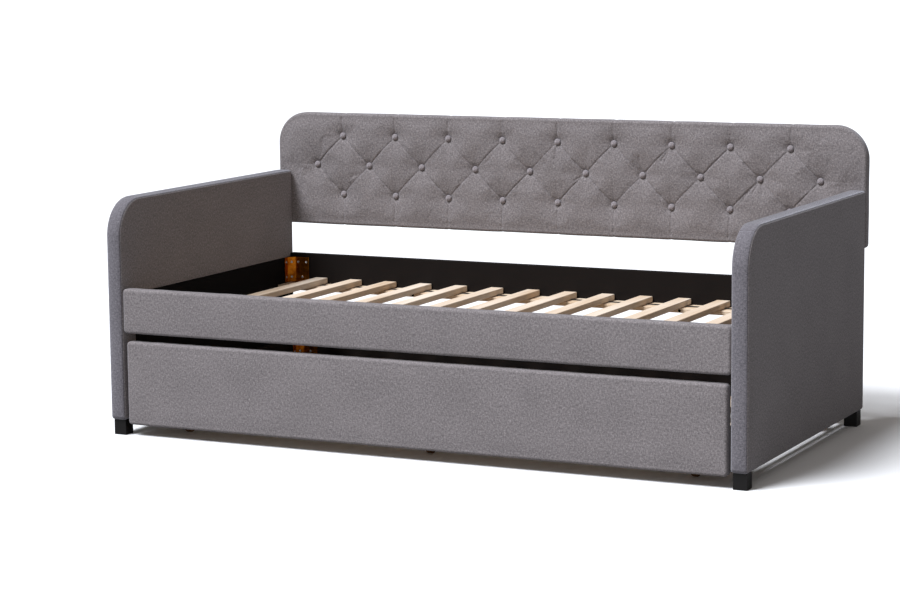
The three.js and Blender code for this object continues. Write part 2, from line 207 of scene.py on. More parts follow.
# A painted studio floor: matt and white, with no pattern that would draw the eye. What it
# throws back on the bed is less than its white would, as if the studio were much larger.
floor_paint, floor_tree, floor_surface = new_finish("matt_floor_paint", Roughness=0.9)
floor_rays = add_node(floor_tree, "ShaderNodeLightPath")
floor_white = add_node(floor_tree, "ShaderNodeMix",
                       {0: floor_rays.outputs["Is Camera Ray"], COLOUR_A: linear(FLOOR_BOUNCE),
                        COLOUR_B: linear(FLOOR_PAINT)}, data_type="RGBA")
floor_tree.links.new(floor_white.outputs[COLOUR_OUT], floor_surface.inputs["Base Color"])

corners = [(-FLOOR_HALF, -FLOOR_HALF), (FLOOR_HALF, -FLOOR_HALF),
           (FLOOR_HALF, FLOOR_HALF), (-FLOOR_HALF, FLOOR_HALF)]
floor_mesh = bpy.data.meshes.new("floor")
floor_mesh.from_pydata([(x, y, -FLOOR_DROP) for x, y in corners], [], [(0, 1, 2, 3)])
floor = bpy.data.objects.new("floor", floor_mesh)
floor.data.materials.append(floor_paint)
bpy.context.scene.collection.objects.link(floor)
print("lights: key", KEY_STRENGTH, "W/m2, fill", FILL_POWER, "W")

# %% [markdown]
# ## Woven polyester, the cover fabric
#
# The cover is a plain weave of heathered polyester: grey warp threads cross slightly browner
# weft threads, and each thread is thicker here and thinner there. From across a room that reads
# as a soft, grainy grey that turns cooler and lighter at grazing angles, because fibre ends stand
# up from the cloth. Plain weave is a checkerboard of threads on top, so two sine waves, one
# across each set of threads, give both the height and which thread shows. The pattern follows
# the piece's own UV map, which is in metres of cloth, so it runs round edges as cloth does.

# %% Woven polyester
THREAD_PITCH = 2.4 * MM       # about 0.9 mm on the real cloth; drawn coarser so that it shows
SLUB_WIDTH = 2.2 * MM         # thick places in the threads, drawn as coarse as the pitch
SLUB_LENGTH = 10 * MM
HEATHER_SIZE = 5.5 * MM
FADE_SIZE = 140 * MM          # patches of the roll that took the dye a little differently
FADE_SHARE = 0.15             # of the fading in the tone; the rest is heather
TONE_RANGE = (0.66, 1.34)     # the darkest and lightest yarn against the mean
THREAD_SWITCH = 0.15          # the wave's height by which one thread has covered the other
WEAVE_RELIEF = 0.5 * MM


def woven_polyester(name, dark, light, warm, sheen):
    """Grey cloth: dark and light are the warp's extremes, and warm is the weft's colour. sheen
    is how much its raised fibres lighten it at grazing angles."""
    material, tree, surface = new_finish(
        name,
        Roughness=0.92,
        Sheen_Weight=sheen,
        Sheen_Roughness=0.45,
        Sheen_Tint=linear("e2e4ee"),
        Specular_IOR_Level=0.25,
    )
    place = add_node(tree, "ShaderNodeUVMap", uv_map="cloth").outputs[0]
    parts = add_node(tree, "ShaderNodeSeparateXYZ", {0: place})
    waves = []
    for axis in (0, 1):
        turn = add_node(tree, "ShaderNodeMath", {0: parts.outputs[axis], 1: math.pi / THREAD_PITCH},
                        operation="MULTIPLY")
        waves.append(add_node(tree, "ShaderNodeMath", {0: turn.outputs[0]}, operation="SINE"))
    both = add_node(tree, "ShaderNodeMath", {0: waves[0].outputs[0], 1: waves[1].outputs[0]},
                    operation="MULTIPLY")
    warp_on_top = add_node(tree, "ShaderNodeMapRange",
                           {0: both.outputs[0], 1: -THREAD_SWITCH, 2: THREAD_SWITCH, 3: 0.0,
                            4: 1.0})
    domes = add_node(tree, "ShaderNodeMath", {0: both.outputs[0]}, operation="ABSOLUTE")

    slubs = []
    for along, across in ((0, 1), (1, 0)):
        stretch = [0.0, 0.0, 1.0]
        stretch[along] = SLUB_WIDTH / SLUB_LENGTH
        stretch[across] = 1.0
        streaked = add_node(tree, "ShaderNodeVectorMath", {0: place, 1: stretch},
                            operation="MULTIPLY")
        slubs.append(add_node(tree, "ShaderNodeTexNoise",
                              {"Vector": streaked.outputs[0], "Scale": 1 / SLUB_WIDTH,
                               "Detail": 2.0}))
    warp = add_node(tree, "ShaderNodeMapRange", {0: slubs[1].outputs[0], 1: 0.32, 2: 0.68})
    weft = add_node(tree, "ShaderNodeMapRange", {0: slubs[0].outputs[0], 1: 0.32, 2: 0.68})
    warp_colour = add_node(tree, "ShaderNodeMix",
                           {0: warp.outputs[0], COLOUR_A: linear(dark), COLOUR_B: linear(light)},
                           data_type="RGBA")
    weft_colour = add_node(tree, "ShaderNodeMix",
                           {0: weft.outputs[0], COLOUR_A: linear(dark), COLOUR_B: linear(warm)},
                           data_type="RGBA")
    threads = add_node(tree, "ShaderNodeMix",
                       {0: warp_on_top.outputs[0],
                        COLOUR_A: weft_colour.outputs[COLOUR_OUT],
                        COLOUR_B: warp_colour.outputs[COLOUR_OUT]},
                       data_type="RGBA")

    heather = add_node(tree, "ShaderNodeTexNoise",
                       {"Vector": place, "Scale": 1 / HEATHER_SIZE, "Detail": 3.0})
    fading = add_node(tree, "ShaderNodeTexNoise",
                      {"Vector": place, "Scale": 1 / FADE_SIZE, "Detail": 1.0})
    mottle = add_node(tree, "ShaderNodeMix",
                      {0: FADE_SHARE, NUMBER_A: heather.outputs[0],
                       NUMBER_B: fading.outputs[0]})
    tone = add_node(tree, "ShaderNodeMapRange",
                    {0: mottle.outputs[NUMBER_OUT], 1: 0.3, 2: 0.7, 3: TONE_RANGE[0],
                     4: TONE_RANGE[1]})
    shaded = add_node(tree, "ShaderNodeVectorMath",
                      {0: threads.outputs[COLOUR_OUT], "Scale": tone.outputs[0]},
                      operation="SCALE")
    tree.links.new(shaded.outputs[0], surface.inputs["Base Color"])

    height = add_node(tree, "ShaderNodeMath", {0: domes.outputs[0], 1: slubs[0].outputs[0]},
                      operation="ADD")
    bump = add_node(tree, "ShaderNodeBump",
                    {"Strength": 0.55, "Distance": WEAVE_RELIEF, "Height": height.outputs[0]})
    tree.links.new(bump.outputs[0], surface.inputs["Normal"])
    return material


cover_fabric = woven_polyester("heathered_grey_polyester", "676263", "959091", "8a8180", 0.32)

# The arms' boxing strips take a darker copy of the cover fabric, painted shade that makes them
# darker than the rest seen from in front. A stronger sheen lightens them where one looks along
# them.
boxing_fabric = woven_polyester("heathered_grey_polyester_painted_shade", "575459", "817d82",
                                "777277", 0.85)

# The buttons take a lighter copy of the cover fabric: a painted highlight on their small domes.
button_fabric = woven_polyester("grey_polyester_painted_highlight", "757073", "a69fa3", "9a9091", 0.4)
print("fabric: threads drawn", round(THREAD_PITCH / MM, 2), "mm apart")

# %% [markdown]
# ## Black linings and tape
#
# Under the mattress line the arms are closed with black non-woven lining: short polypropylene
# fibres melted together, so it has no weave, only a felted fleck, and hardly any gloss. The slat
# tapes are woven, with ribs across them, and a slight shine.

# %% Black textiles
LINING_FLECK = 1.6 * MM
TAPE_RIB = 1.8 * MM


def non_woven_lining():
    """Felted black sheet: a fine noise moves the tone and the height."""
    material, tree, surface = new_finish(
        "black_non_woven_lining", Roughness=0.95, Specular_IOR_Level=0.15
    )
    place = add_node(tree, "ShaderNodeUVMap", uv_map="cloth").outputs[0]
    fleck = add_node(tree, "ShaderNodeTexNoise",
                     {"Vector": place, "Scale": 1 / LINING_FLECK, "Detail": 4.0})
    tone = add_node(tree, "ShaderNodeMix",
                    {0: fleck.outputs[0], COLOUR_A: linear("060505"), COLOUR_B: linear("131111")},
                    data_type="RGBA")
    bump = add_node(tree, "ShaderNodeBump",
                    {"Strength": 0.4, "Distance": 0.4 * MM, "Height": fleck.outputs[0]})
    tree.links.new(tone.outputs[COLOUR_OUT], surface.inputs["Base Color"])
    tree.links.new(bump.outputs[0], surface.inputs["Normal"])
    return material


def woven_tape():
    """Black polypropylene tape: a sine along the tape makes its ribs, and paints shade in its
    grooves.
    """
    material, tree, surface = new_finish("black_woven_tape", Roughness=0.6)
    place = add_node(tree, "ShaderNodeUVMap", uv_map="cloth").outputs[0]
    along = add_node(tree, "ShaderNodeSeparateXYZ", {0: place})
    turn = add_node(tree, "ShaderNodeMath",
                    {0: along.outputs[0], 1: 2 * math.pi / TAPE_RIB}, operation="MULTIPLY")
    ribs = add_node(tree, "ShaderNodeMath", {0: turn.outputs[0]}, operation="SINE")
    share = add_node(tree, "ShaderNodeMapRange", {0: ribs.outputs[0], 1: -1.0, 2: 1.0})
    # Lighter rib crests and darker grooves between them: painted shade.
    tone = add_node(tree, "ShaderNodeMix",
                    {0: share.outputs[0], COLOUR_A: linear("0b0a0a"), COLOUR_B: linear("242223")},
                    data_type="RGBA")
    bump = add_node(tree, "ShaderNodeBump",
                    {"Strength": 0.5, "Distance": 0.3 * MM, "Height": ribs.outputs[0]})
    tree.links.new(tone.outputs[COLOUR_OUT], surface.inputs["Base Color"])
    tree.links.new(bump.outputs[0], surface.inputs["Normal"])
    return material


lining_cloth = non_woven_lining()
tape_cloth = woven_tape()

# %% [markdown]
# ## Wood
#
# The slats, ledgers and bearers are planed poplar, left raw: pale cream, with faint straight
# grain and a matt surface. Grain is fibres seen along their length, so a noise that is stretched
# along the board and squeezed across it draws it. The coordinates are the object's own, which
# for these nodes are places in the bed, so that no two slats carry the same figure. The cores
# and the rails' boards are birch plywood, a little darker, and the boards that the eye shouldn't
# meet are sprayed black, as are the legs.

# %% Wood
GRAIN_WIDTH = 2.2 * MM
GRAIN_LENGTH = 260 * MM
BOARD_TONE = 90 * MM          # how far apart boards of a different tone lie
LACQUER_LENGTH = 40 * MM      # streaks of gloss along the grain under lacquer
LACQUER_WIDTH = 4 * MM
LACQUER_SPREAD = 0.08         # of its roughness, each way


def planed_wood(name, axis, pale, dark, roughness):
    """Raw wood with its grain along axis 0 (X), 1 (Y) or 2 (Z)."""
    material, tree, surface = new_finish(name, Roughness=roughness, Specular_IOR_Level=0.3)
    place = add_node(tree, "ShaderNodeTexCoord").outputs["Object"]
    squeeze = [1 / GRAIN_WIDTH] * 3
    squeeze[axis] = 1 / GRAIN_LENGTH
    fibres = add_node(tree, "ShaderNodeVectorMath", {0: place, 1: squeeze}, operation="MULTIPLY")
    grain = add_node(tree, "ShaderNodeTexNoise",
                     {"Vector": fibres.outputs[0], "Scale": 1.0, "Detail": 4.0,
                      "Distortion": 0.4})
    broad = [1 / BOARD_TONE] * 3
    broad[axis] = 1 / (6 * BOARD_TONE)
    boards = add_node(tree, "ShaderNodeVectorMath", {0: place, 1: broad}, operation="MULTIPLY")
    tone = add_node(tree, "ShaderNodeTexNoise",
                    {"Vector": boards.outputs[0], "Scale": 1.0, "Detail": 1.0})
    both = add_node(tree, "ShaderNodeMath", {0: grain.outputs[0], 1: tone.outputs[0]},
                    operation="ADD")
    share = add_node(tree, "ShaderNodeMapRange", {0: both.outputs[0], 1: 0.72, 2: 1.3})
    colour = add_node(tree, "ShaderNodeMix",
                      {0: share.outputs[0], COLOUR_A: linear(pale), COLOUR_B: linear(dark)},
                      data_type="RGBA")
    bump = add_node(tree, "ShaderNodeBump",
                    {"Strength": 0.25, "Distance": 0.3 * MM, "Height": grain.outputs[0]})
    tree.links.new(colour.outputs[COLOUR_OUT], surface.inputs["Base Color"])
    tree.links.new(bump.outputs[0], surface.inputs["Normal"])
    return material


def sprayed_black(name, tone, roughness, specular, coat):
    """Black lacquer over wood: the grain just telegraphs through as a change of gloss."""
    material, tree, surface = new_finish(
        name, Specular_IOR_Level=specular, Coat_Weight=coat, Coat_Roughness=0.25
    )
    place = add_node(tree, "ShaderNodeTexCoord").outputs["Object"]
    squeeze = (1 / LACQUER_LENGTH, 1 / LACQUER_LENGTH, 1 / LACQUER_WIDTH)
    fibres = add_node(tree, "ShaderNodeVectorMath", {0: place, 1: squeeze}, operation="MULTIPLY")
    grain = add_node(tree, "ShaderNodeTexNoise",
                     {"Vector": fibres.outputs[0], "Scale": 1.0, "Detail": 3.0})
    gloss = add_node(tree, "ShaderNodeMapRange",
                     {0: grain.outputs[0], 1: 0.3, 2: 0.7, 3: roughness - LACQUER_SPREAD,
                      4: roughness + LACQUER_SPREAD})
    colour = add_node(tree, "ShaderNodeMix",
                      {0: grain.outputs[0], COLOUR_A: linear("080707"), COLOUR_B: linear(tone)},
                      data_type="RGBA")
    tree.links.new(gloss.outputs[0], surface.inputs["Roughness"])
    tree.links.new(colour.outputs[COLOUR_OUT], surface.inputs["Base Color"])
    return material


poplar_along_bed = planed_wood("planed_poplar_along", 0, "e7d6c0", "c6a682", 0.7)
poplar_across_bed = planed_wood("planed_poplar_across", 1, "ebdccb", "c9ac8c", 0.7)
birch_plywood = planed_wood("birch_plywood", 0, "d9bd90", "b8935f", 0.75)
black_board = sprayed_black("black_sprayed_board", "18100d", 0.7, 0.16, 0.0)
black_leg = sprayed_black("black_lacquered_leg", "120f0e", 0.4, 0.4, 0.15)

# %% [markdown]
# ## Metal and plastic
#
# The corner brackets are pressed steel with yellow zinc plating. Its chromate film is uneven, so
# the gold drifts towards orange from place to place, and it gleams softly. Their screws and the
# staples are bright zinc, and the caster forks are a duller one. The screws in the rear ledger are
# drawn black, as painted shade of their holes. The wheels are brown nylon, smooth from the mould.

# %% Metal and plastic
FILM_SIZE = 14 * MM
SPANGLE_SIZE = 3 * MM
SPANGLE_SPREAD = 0.1          # of the roughness, each way


def plated_steel(name, film, tint, roughness):
    """Zinc plating: a slow noise drifts the film's colour, and a fine one its roughness."""
    material, tree, surface = new_finish(name, Metallic=1.0)
    place = add_node(tree, "ShaderNodeTexCoord").outputs["Object"]
    drift = add_node(tree, "ShaderNodeTexNoise",
                     {"Vector": place, "Scale": 1 / FILM_SIZE, "Detail": 3.0})
    share = add_node(tree, "ShaderNodeMapRange", {0: drift.outputs[0], 1: 0.35, 2: 0.65})
    colour = add_node(tree, "ShaderNodeMix",
                      {0: share.outputs[0], COLOUR_A: linear(film), COLOUR_B: linear(tint)},
                      data_type="RGBA")
    spangle = add_node(tree, "ShaderNodeTexNoise",
                       {"Vector": place, "Scale": 1 / SPANGLE_SIZE, "Detail": 2.0})
    rough = add_node(tree, "ShaderNodeMapRange",
                     {0: spangle.outputs[0], 1: 0.3, 2: 0.7, 3: roughness - SPANGLE_SPREAD,
                      4: roughness + SPANGLE_SPREAD})
    tree.links.new(colour.outputs[COLOUR_OUT], surface.inputs["Base Color"])
    tree.links.new(rough.outputs[0], surface.inputs["Roughness"])
    return material


def moulded_nylon():
    """Brown nylon: a faint flow mark in the tone, and a dull shine."""
    material, tree, surface = new_finish("brown_moulded_nylon", Roughness=0.45, IOR=1.53)
    place = add_node(tree, "ShaderNodeTexCoord").outputs["Object"]
    flow = add_node(tree, "ShaderNodeTexNoise",
                    {"Vector": place, "Scale": 1 / FILM_SIZE, "Detail": 2.0})
    colour = add_node(tree, "ShaderNodeMix",
                      {0: flow.outputs[0], COLOUR_A: linear("6b4a2e"), COLOUR_B: linear("946a42")},
                      data_type="RGBA")
    tree.links.new(colour.outputs[COLOUR_OUT], surface.inputs["Base Color"])
    return material


yellow_zinc = plated_steel("yellow_zinc_plated_steel", "a35a10", "cf8526", 0.36)
bright_zinc = plated_steel("bright_zinc_plated_steel", "b4b7bb", "cfd2d4", 0.3)
caster_zinc = plated_steel("caster_zinc_plated_steel", "8d9095", "a9acb0", 0.42)
black_steel = plated_steel("black_steel_painted_hole_shade", "0d0c0c", "1b1918", 0.5)
wheel_nylon = moulded_nylon()
print("finishes:", len(bpy.data.materials))

# %% [markdown]
# ## Tools for surfaces
#
# Every new piece is made of grids of points. A grid is worked out as a whole from two
# parameters, such as the place along a rail and round its section, and then neighbouring points
# are joined into quads. Where grids meet, or where a row closes on itself or shrinks to a pole,
# points coincide, and merging them closes the mesh. The second half of a patch is where each
# point lies on the flat cloth, which becomes the UV map.

# %% Grids to meshes
WELD = 0.02 * MM


def grid_faces(rows, columns, start=0):
    """The quads of a grid of points numbered row by row."""
    index = np.arange(rows * columns).reshape(rows, columns) + start
    corners = [index[:-1, :-1], index[1:, :-1], index[1:, 1:], index[:-1, 1:]]
    return np.stack(corners, -1).reshape(-1, 4)


def raw_mesh(name, points, faces):
    """A mesh straight from an array of points and an array of quads."""
    mesh = bpy.data.meshes.new(name)
    mesh.vertices.add(len(points))
    mesh.vertices.foreach_set("co", points.astype(np.float32).ravel())
    mesh.loops.add(faces.size)
    mesh.loops.foreach_set("vertex_index", faces.astype(np.int32).ravel())
    mesh.polygons.add(len(faces))
    mesh.polygons.foreach_set("loop_start", np.arange(0, faces.size, 4, dtype=np.int32))
    mesh.update(calc_edges=True)
    return mesh


def build_piece(name, patches, finish, strip=None):
    """One closed object from patches of (points, cloth), each a grid of places in metres. strip
    is a second finish, with an array that is true for the quads of the last patch it is on."""
    faces = []
    start = 0
    for points, _ in patches:
        rows, columns = points.shape[:2]
        faces.append(grid_faces(rows, columns, start))
        start += rows * columns
    faces = np.concatenate(faces)
    points = np.concatenate([p.reshape(-1, 3) for p, _ in patches])
    cloth = np.concatenate([c.reshape(-1, 2) for _, c in patches])
    mesh = raw_mesh(name, points, faces)
    layer = mesh.uv_layers.new(name="cloth")
    layer.uv.foreach_set("vector", cloth[faces.ravel()].astype(np.float32).ravel())
    mesh.materials.append(finish)
    if strip is not None:
        second_finish, quads = strip
        mesh.materials.append(second_finish)
        which = np.zeros(len(faces), np.int32)
        which[-quads.size:] = quads.ravel()
        mesh.polygons.foreach_set("material_index", which)
    work = bmesh.new()
    work.from_mesh(mesh)
    bmesh.ops.remove_doubles(work, verts=work.verts, dist=WELD)
    bmesh.ops.dissolve_degenerate(work, edges=work.edges, dist=WELD / 4)
    bmesh.ops.recalc_face_normals(work, faces=work.faces)
    work.to_mesh(mesh)
    work.free()
    mesh.polygons.foreach_set("use_smooth", np.ones(len(mesh.polygons), bool))
    piece = bpy.data.objects.new(name, mesh)
    bpy.context.scene.collection.objects.link(piece)
    return piece


def hand_over(piece, body, slot, *replaced):
    """The piece rides on a body and stands for CAD nodes. slot is not used."""
    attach(piece, body)
    if replaced:
        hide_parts(*replaced)
    print(f"{piece.name}: {len(piece.data.polygons)} faces on {body}")


# %% [markdown]
# ## Padded panels
#
# The arms, the backrest, the front rail and the trundle's front are all the same thing: a board
# with thin foam over it, and cloth pulled round the edges. Each is an outline with round corners
# in its own plane, with p along the panel and q up it, and a thickness t. The face is a grid of
# columns: each column runs from the bottom edge to the top edge at that p, and lines crowd
# together near a round corner and beside a hem. From the face's border the cloth rolls over the
# edge: a quarter round, a flat and a quarter round. Reliefs then lift or sink the cloth, for the
# crown of the foam, seams, hems and folds.

# %% The panel's grid
LINE_STEP = 0.4 * MM
HEM_WALL = 0.8 * MM
CORNER_LINES = 14             # over a round corner


def grid_lines(low, high, spacing, low_rounds=(), high_rounds=(), hems=(), through=None):
    """Lines from low to high, at most spacing apart, or spacing apart through one place. A
    corner of radius r adds lines at r (1 - cos a) from its side for even angles a, and a hem
    adds four close round it. They are rounded to LINE_STEP, so that none lie closer."""
    turn = 1 - np.cos(np.linspace(0, np.pi / 2, CORNER_LINES))
    beside = np.array([-3, -1, 1, 3]) * HEM_WALL / 2
    if through is not None:
        first = math.ceil((low - through) / spacing + 0.3)
        last = math.floor((high - through) / spacing - 0.3)
        return np.concatenate([[low], through + np.arange(first, last + 1) * spacing, [high]])
    lines = [np.linspace(low, high, math.ceil((high - low) / spacing) + 1)]
    lines += [low + radius * turn for radius in low_rounds]
    lines += [high - radius * turn for radius in high_rounds]
    lines += [hem + beside for hem in hems]
    steps = np.unique(np.round((np.concatenate(lines) - low) / LINE_STEP))
    inner = low + steps * LINE_STEP
    inner = inner[(inner > low + LINE_STEP / 2) & (inner < high - LINE_STEP / 2)]
    return np.concatenate([[low], inner, [high]])


def edge_drop(p, low, high, low_radius, high_radius):
    """How far an edge with round ends lies inside its straight line:
    r - sqrt(r^2 - (r - d)^2) at a distance d from an end of radius r, and 0 past it."""
    drop = np.zeros_like(p)
    for distance, radius in ((p - low, low_radius), (high - p, high_radius)):
        short = np.clip(radius - distance, 0, radius)
        drop += radius - np.sqrt(radius ** 2 - short ** 2)
    return drop


def edge_lean(p, low, high, low_radius, high_radius):
    """The part along p of that edge's outward normal: (r - d) / r, outwards at each end."""
    low_part = np.clip(low_radius - (p - low), 0, low_radius) / low_radius
    high_part = np.clip(high_radius - (high - p), 0, high_radius) / high_radius
    return high_part - low_part


class PanelGrid:
    """The face of a panel, inset from its outline by the edge's round.

    radii are the outline's corners: bottom low, bottom high, top low and top high in p. p and q
    are the grid's places, distance is how far each lies from the border, and border and normals
    go once round the grid, from the bottom low corner up the low side."""

    def __init__(self, p_range, q_range, radii, edge, spacing, hems=((), ()), through=None):
        p_low, p_high = p_range[0] + edge, p_range[1] - edge
        q_low, q_high = q_range[0] + edge, q_range[1] - edge
        foot_low, foot_high, top_low, top_high = [max(r - edge, 1 * MM) for r in radii]
        columns = grid_lines(p_low, p_high, spacing, (foot_low, top_low), (foot_high, top_high),
                             hems[0])
        if through is not None:
            middle = grid_lines(p_low + top_low, p_high - top_high, spacing, through=through[0])
            ends = grid_lines(p_low, p_high, spacing, (foot_low, top_low), (foot_high, top_high))
            outside = (ends < middle[0] - LINE_STEP) | (ends > middle[-1] + LINE_STEP)
            columns = np.sort(np.concatenate([ends[outside], middle]))
        foot = q_low + edge_drop(columns, p_low, p_high, foot_low, foot_high)
        top = q_high - edge_drop(columns, p_low, p_high, top_low, top_high)
        level_low = q_low + max(foot_low, foot_high) + spacing / 2
        level_high = q_high - max(top_low, top_high) - spacing / 2
        if through is not None:
            level_low = through[1] + math.ceil((level_low - through[1]) / spacing) * spacing
            level_high = through[1] + math.floor((level_high - through[1]) / spacing) * spacing
        level = grid_lines(level_low, level_high, spacing, hems=hems[1],
                           through=None if through is None else through[1])
        foot_count = max(5, round((level_low - q_low) / spacing) + 1)
        top_count = max(5, round((q_high - level_high) / spacing) + 1)
        rise = np.linspace(0, 1, foot_count)[:-1]
        climb = np.linspace(0, 1, top_count)[1:]
        self.q = np.concatenate([
            foot[:, None] + (level_low - foot[:, None]) * rise,
            np.broadcast_to(level, (len(columns), len(level))),
            level_high + (top[:, None] - level_high) * climb,
        ], axis=1)
        self.p = np.broadcast_to(columns[:, None], self.q.shape)
        self.distance = np.minimum.reduce([
            self.p - p_low, p_high - self.p, self.q - foot[:, None], top[:, None] - self.q,
        ])
        top_lean = edge_lean(columns, p_low, p_high, top_low, top_high)
        foot_lean = edge_lean(columns, p_low, p_high, foot_low, foot_high)
        sides = np.ones(self.q.shape[1])
        corners = [
            (self.p[0], self.q[0], -sides, 0 * sides),
            (columns, top, top_lean, np.sqrt(1 - top_lean ** 2)),
            (self.p[-1, ::-1], self.q[-1, ::-1], sides, 0 * sides),
            (columns[::-1], foot[::-1], foot_lean[::-1], -np.sqrt(1 - foot_lean[::-1] ** 2)),
        ]
        loop = np.concatenate([np.stack(side, -1)[1:] for side in corners])
        loop = np.concatenate([loop[-1:], loop])
        self.border, self.normals = loop[:, :2], loop[:, 2:]


# %% The panel's edge and reliefs
def edge_section(path, edge, thickness):
    """Place and normal on the section over an edge, at each length along it from the front face:
    a quarter round (edge sin a outwards), a flat at edge, and a quarter round. Returns the way
    out, the depth, and the normal's two parts."""
    turn = edge * math.pi / 2
    flat = thickness - 2 * edge
    front = np.clip(path / edge, 0, math.pi / 2)
    back = np.clip((path - turn - flat) / edge, 0, math.pi / 2)
    run = np.clip(path - turn, 0, flat)
    out = edge * (np.sin(front) + np.cos(back) - 1)
    depth = thickness / 2 - edge * (1 - np.cos(front)) - run - edge * np.sin(back)
    return out, depth, np.sin(front) * np.cos(back), np.cos(front) - np.sin(back)


def slow_waves(p, q, size, height, seed):
    """Unevenness of hand-pulled cloth: seven sines, each in its own direction, with wavelengths
    near size, added up."""
    draw = np.random.default_rng(seed)
    total = np.zeros(np.broadcast(p, q).shape)
    for _ in range(7):
        angle, phase = draw.uniform(0, 2 * np.pi, 2)
        length = size * draw.uniform(0.6, 1.7)
        total += np.sin(2 * np.pi * (p * np.cos(angle) + q * np.sin(angle)) / length + phase)
    return height * total / math.sqrt(7)


def swell(distance, reach):
    """0 at the border and 1 far from it: 1 - exp(-(d / reach)^2)."""
    return 1 - np.exp(-(distance / reach) ** 2)


def inside_window(p, q, p_range, q_range):
    """1 inside a rectangle and 0 outside, with a wall HEM_WALL wide."""
    gaps = (p - p_range[0], p_range[1] - p, q - q_range[0], q_range[1] - q)
    return np.prod([np.clip(gap / HEM_WALL + 0.5, 0, 1) for gap in gaps], axis=0)


def panel_patches(grid, thickness, edge, edge_lines, place, front, back, roll=None):
    """Front face, back face and rolled edge of a panel. front and back give the lift of each
    point of the grid, and roll the lift on the edge from the length round the border, the length
    over the section, and the border's points."""
    out, depth, way_out, way_front = edge_section(edge_lines, edge, thickness)
    outer = grid.border + grid.normals * edge
    steps = np.linalg.norm(np.diff(outer, axis=0), axis=1)
    around = np.concatenate([[0], np.cumsum(steps)])[:, None]
    lift = 0 if roll is None else roll(around, edge_lines[None, :], grid.border)
    spread = (out + lift * way_out)[..., None] * np.ones((len(outer), 1, 1))
    ring = grid.border[:, None, :] + grid.normals[:, None, :] * spread
    ring_depth = np.broadcast_to(depth + lift * way_front, ring.shape[:2])
    cloth = np.stack([grid.p, grid.q], -1)
    ring_cloth = np.stack(np.broadcast_arrays(around, edge_lines[None, :]), -1)
    half = thickness / 2
    return [
        (place(grid.p, grid.q, half + front), cloth),
        (place(grid.p, grid.q, -half - back), cloth),
        (place(ring[..., 0], ring[..., 1], ring_depth), ring_cloth),
    ]


# %% [markdown]
# ## Arms
#
# An arm is a plywood core with foam on both sides. One strip of cloth, the boxing, runs up the
# front edge, round the corner and back along the top, and is sewn to the two side panels, so a
# seam follows each edge there. The bottom and the back have no seam: the cloth is pulled round
# and stapled. A seam is a narrow valley, and the cloth puckers a little beside it because the
# thread pulls it in. Below the mattress line the inner side is closed with black lining, so the
# cover has a shallow window there, with a turned hem.

# %% Arm covers
ARM_EDGE = 9 * MM
ARM_CORNER = 115 * MM
SQUARE_CORNER = 8 * MM
FABRIC_RETURN = 72 * MM
LINING_DEPTH = 2.4 * MM
WINDOW_DEPTH = 7 * MM
SEAM_DEPTH = 2 * MM
SEAM_WIDTH = 1.2 * MM
SEAM_SHARE = 0.4              # of the round, from the side panel to the seam
PUCKER_LENGTH = 15 * MM
PUCKER_HEIGHT = 0.35 * MM
PUCKER_REACH = 7 * MM
SEAM_FADE = 20 * MM           # the length in which a seam ends at the foot and the back
ARM_EDGE_LINES = 14           # over the edge's section, without those beside the seams
JOIN_ANGLE = math.radians(59)  # round the top front corner, where the strip is joined
JOIN_DEPTH = 1.8 * MM
JOIN_WIDTH = 1.4 * MM
BOXING_CROWN = 2.8 * MM
PANEL_SPACING = 12 * MM
WINDOW_FOOT = 14 * MM         # cloth left below the lining
FOAM_REACH = 25 * MM          # how far from the edge the foam is near its full height
FOAM_WAVE = 0.28              # length of the unevenness of the foam
OUTER_CROWN = 2.2 * MM
OUTER_WAVE = 0.6 * MM
INNER_CROWN = 1.2 * MM        # the cloth is pulled tighter on the side of the mattress
INNER_WAVE = 0.5 * MM

arm_low, arm_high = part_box("right_arm_cover")
lining_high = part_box("right_arm_lining")[1]
arm_thickness = arm_high.x - arm_low.x
arm_middle = (arm_high.x + arm_low.x) / 2
arm_section = ARM_EDGE * math.pi + arm_thickness - 2 * ARM_EDGE
seam_at = ARM_EDGE * math.pi / 2 * SEAM_SHARE
window_p = (arm_low.y + FABRIC_RETURN, lining_high.y)
window_q = (arm_low.z + WINDOW_FOOT, lining_high.z)


def seam_lines(total, seams, count):
    """Lines over an edge's section: evenly spaced, with six more beside each seam."""
    beside = np.array([-3, -1.6, -0.8, 0, 0.8, 1.6, 3]) * SEAM_WIDTH
    lines = [np.linspace(0, total, count)] + [seam + beside for seam in seams]
    lines = np.unique(np.round(np.concatenate(lines) / (LINE_STEP / 2))) * LINE_STEP / 2
    inner = lines[(lines > 0) & (lines < total - LINE_STEP / 4)]
    return np.concatenate([[0], inner, [total]])


def boxed_edge(seams, seamed, crown, cross_seam=None, seed=0):
    """Relief of a boxed edge. Each seam is a valley exp(-(x / width)^2). Between the seams the
    strip swells as a sine. seamed(border) says how much of a seam each border point has."""
    def relief(around, path, border):
        share = seamed(border)[:, None]
        valley = sum(np.exp(-((path - seam) / SEAM_WIDTH) ** 2) for seam in seams)
        across = np.clip((path - seams[0]) / (seams[1] - seams[0]), 0, 1)
        pucker = slow_waves(around, 0 * around, PUCKER_LENGTH, PUCKER_HEIGHT, seed)
        near = sum(np.exp(-np.abs(path - seam) / PUCKER_REACH) for seam in seams)
        ends = np.sin(np.pi * np.clip(path / arm_section, 0, 1)) ** 0.5
        lift = share * (crown * np.sin(np.pi * across) - SEAM_DEPTH * valley + pucker * near)
        if cross_seam is not None:
            middle = np.linalg.norm(border - cross_seam, axis=1)[:, None]
            lift = lift - JOIN_DEPTH * np.exp(-(middle / JOIN_WIDTH) ** 2)
        return lift * ends
    return relief


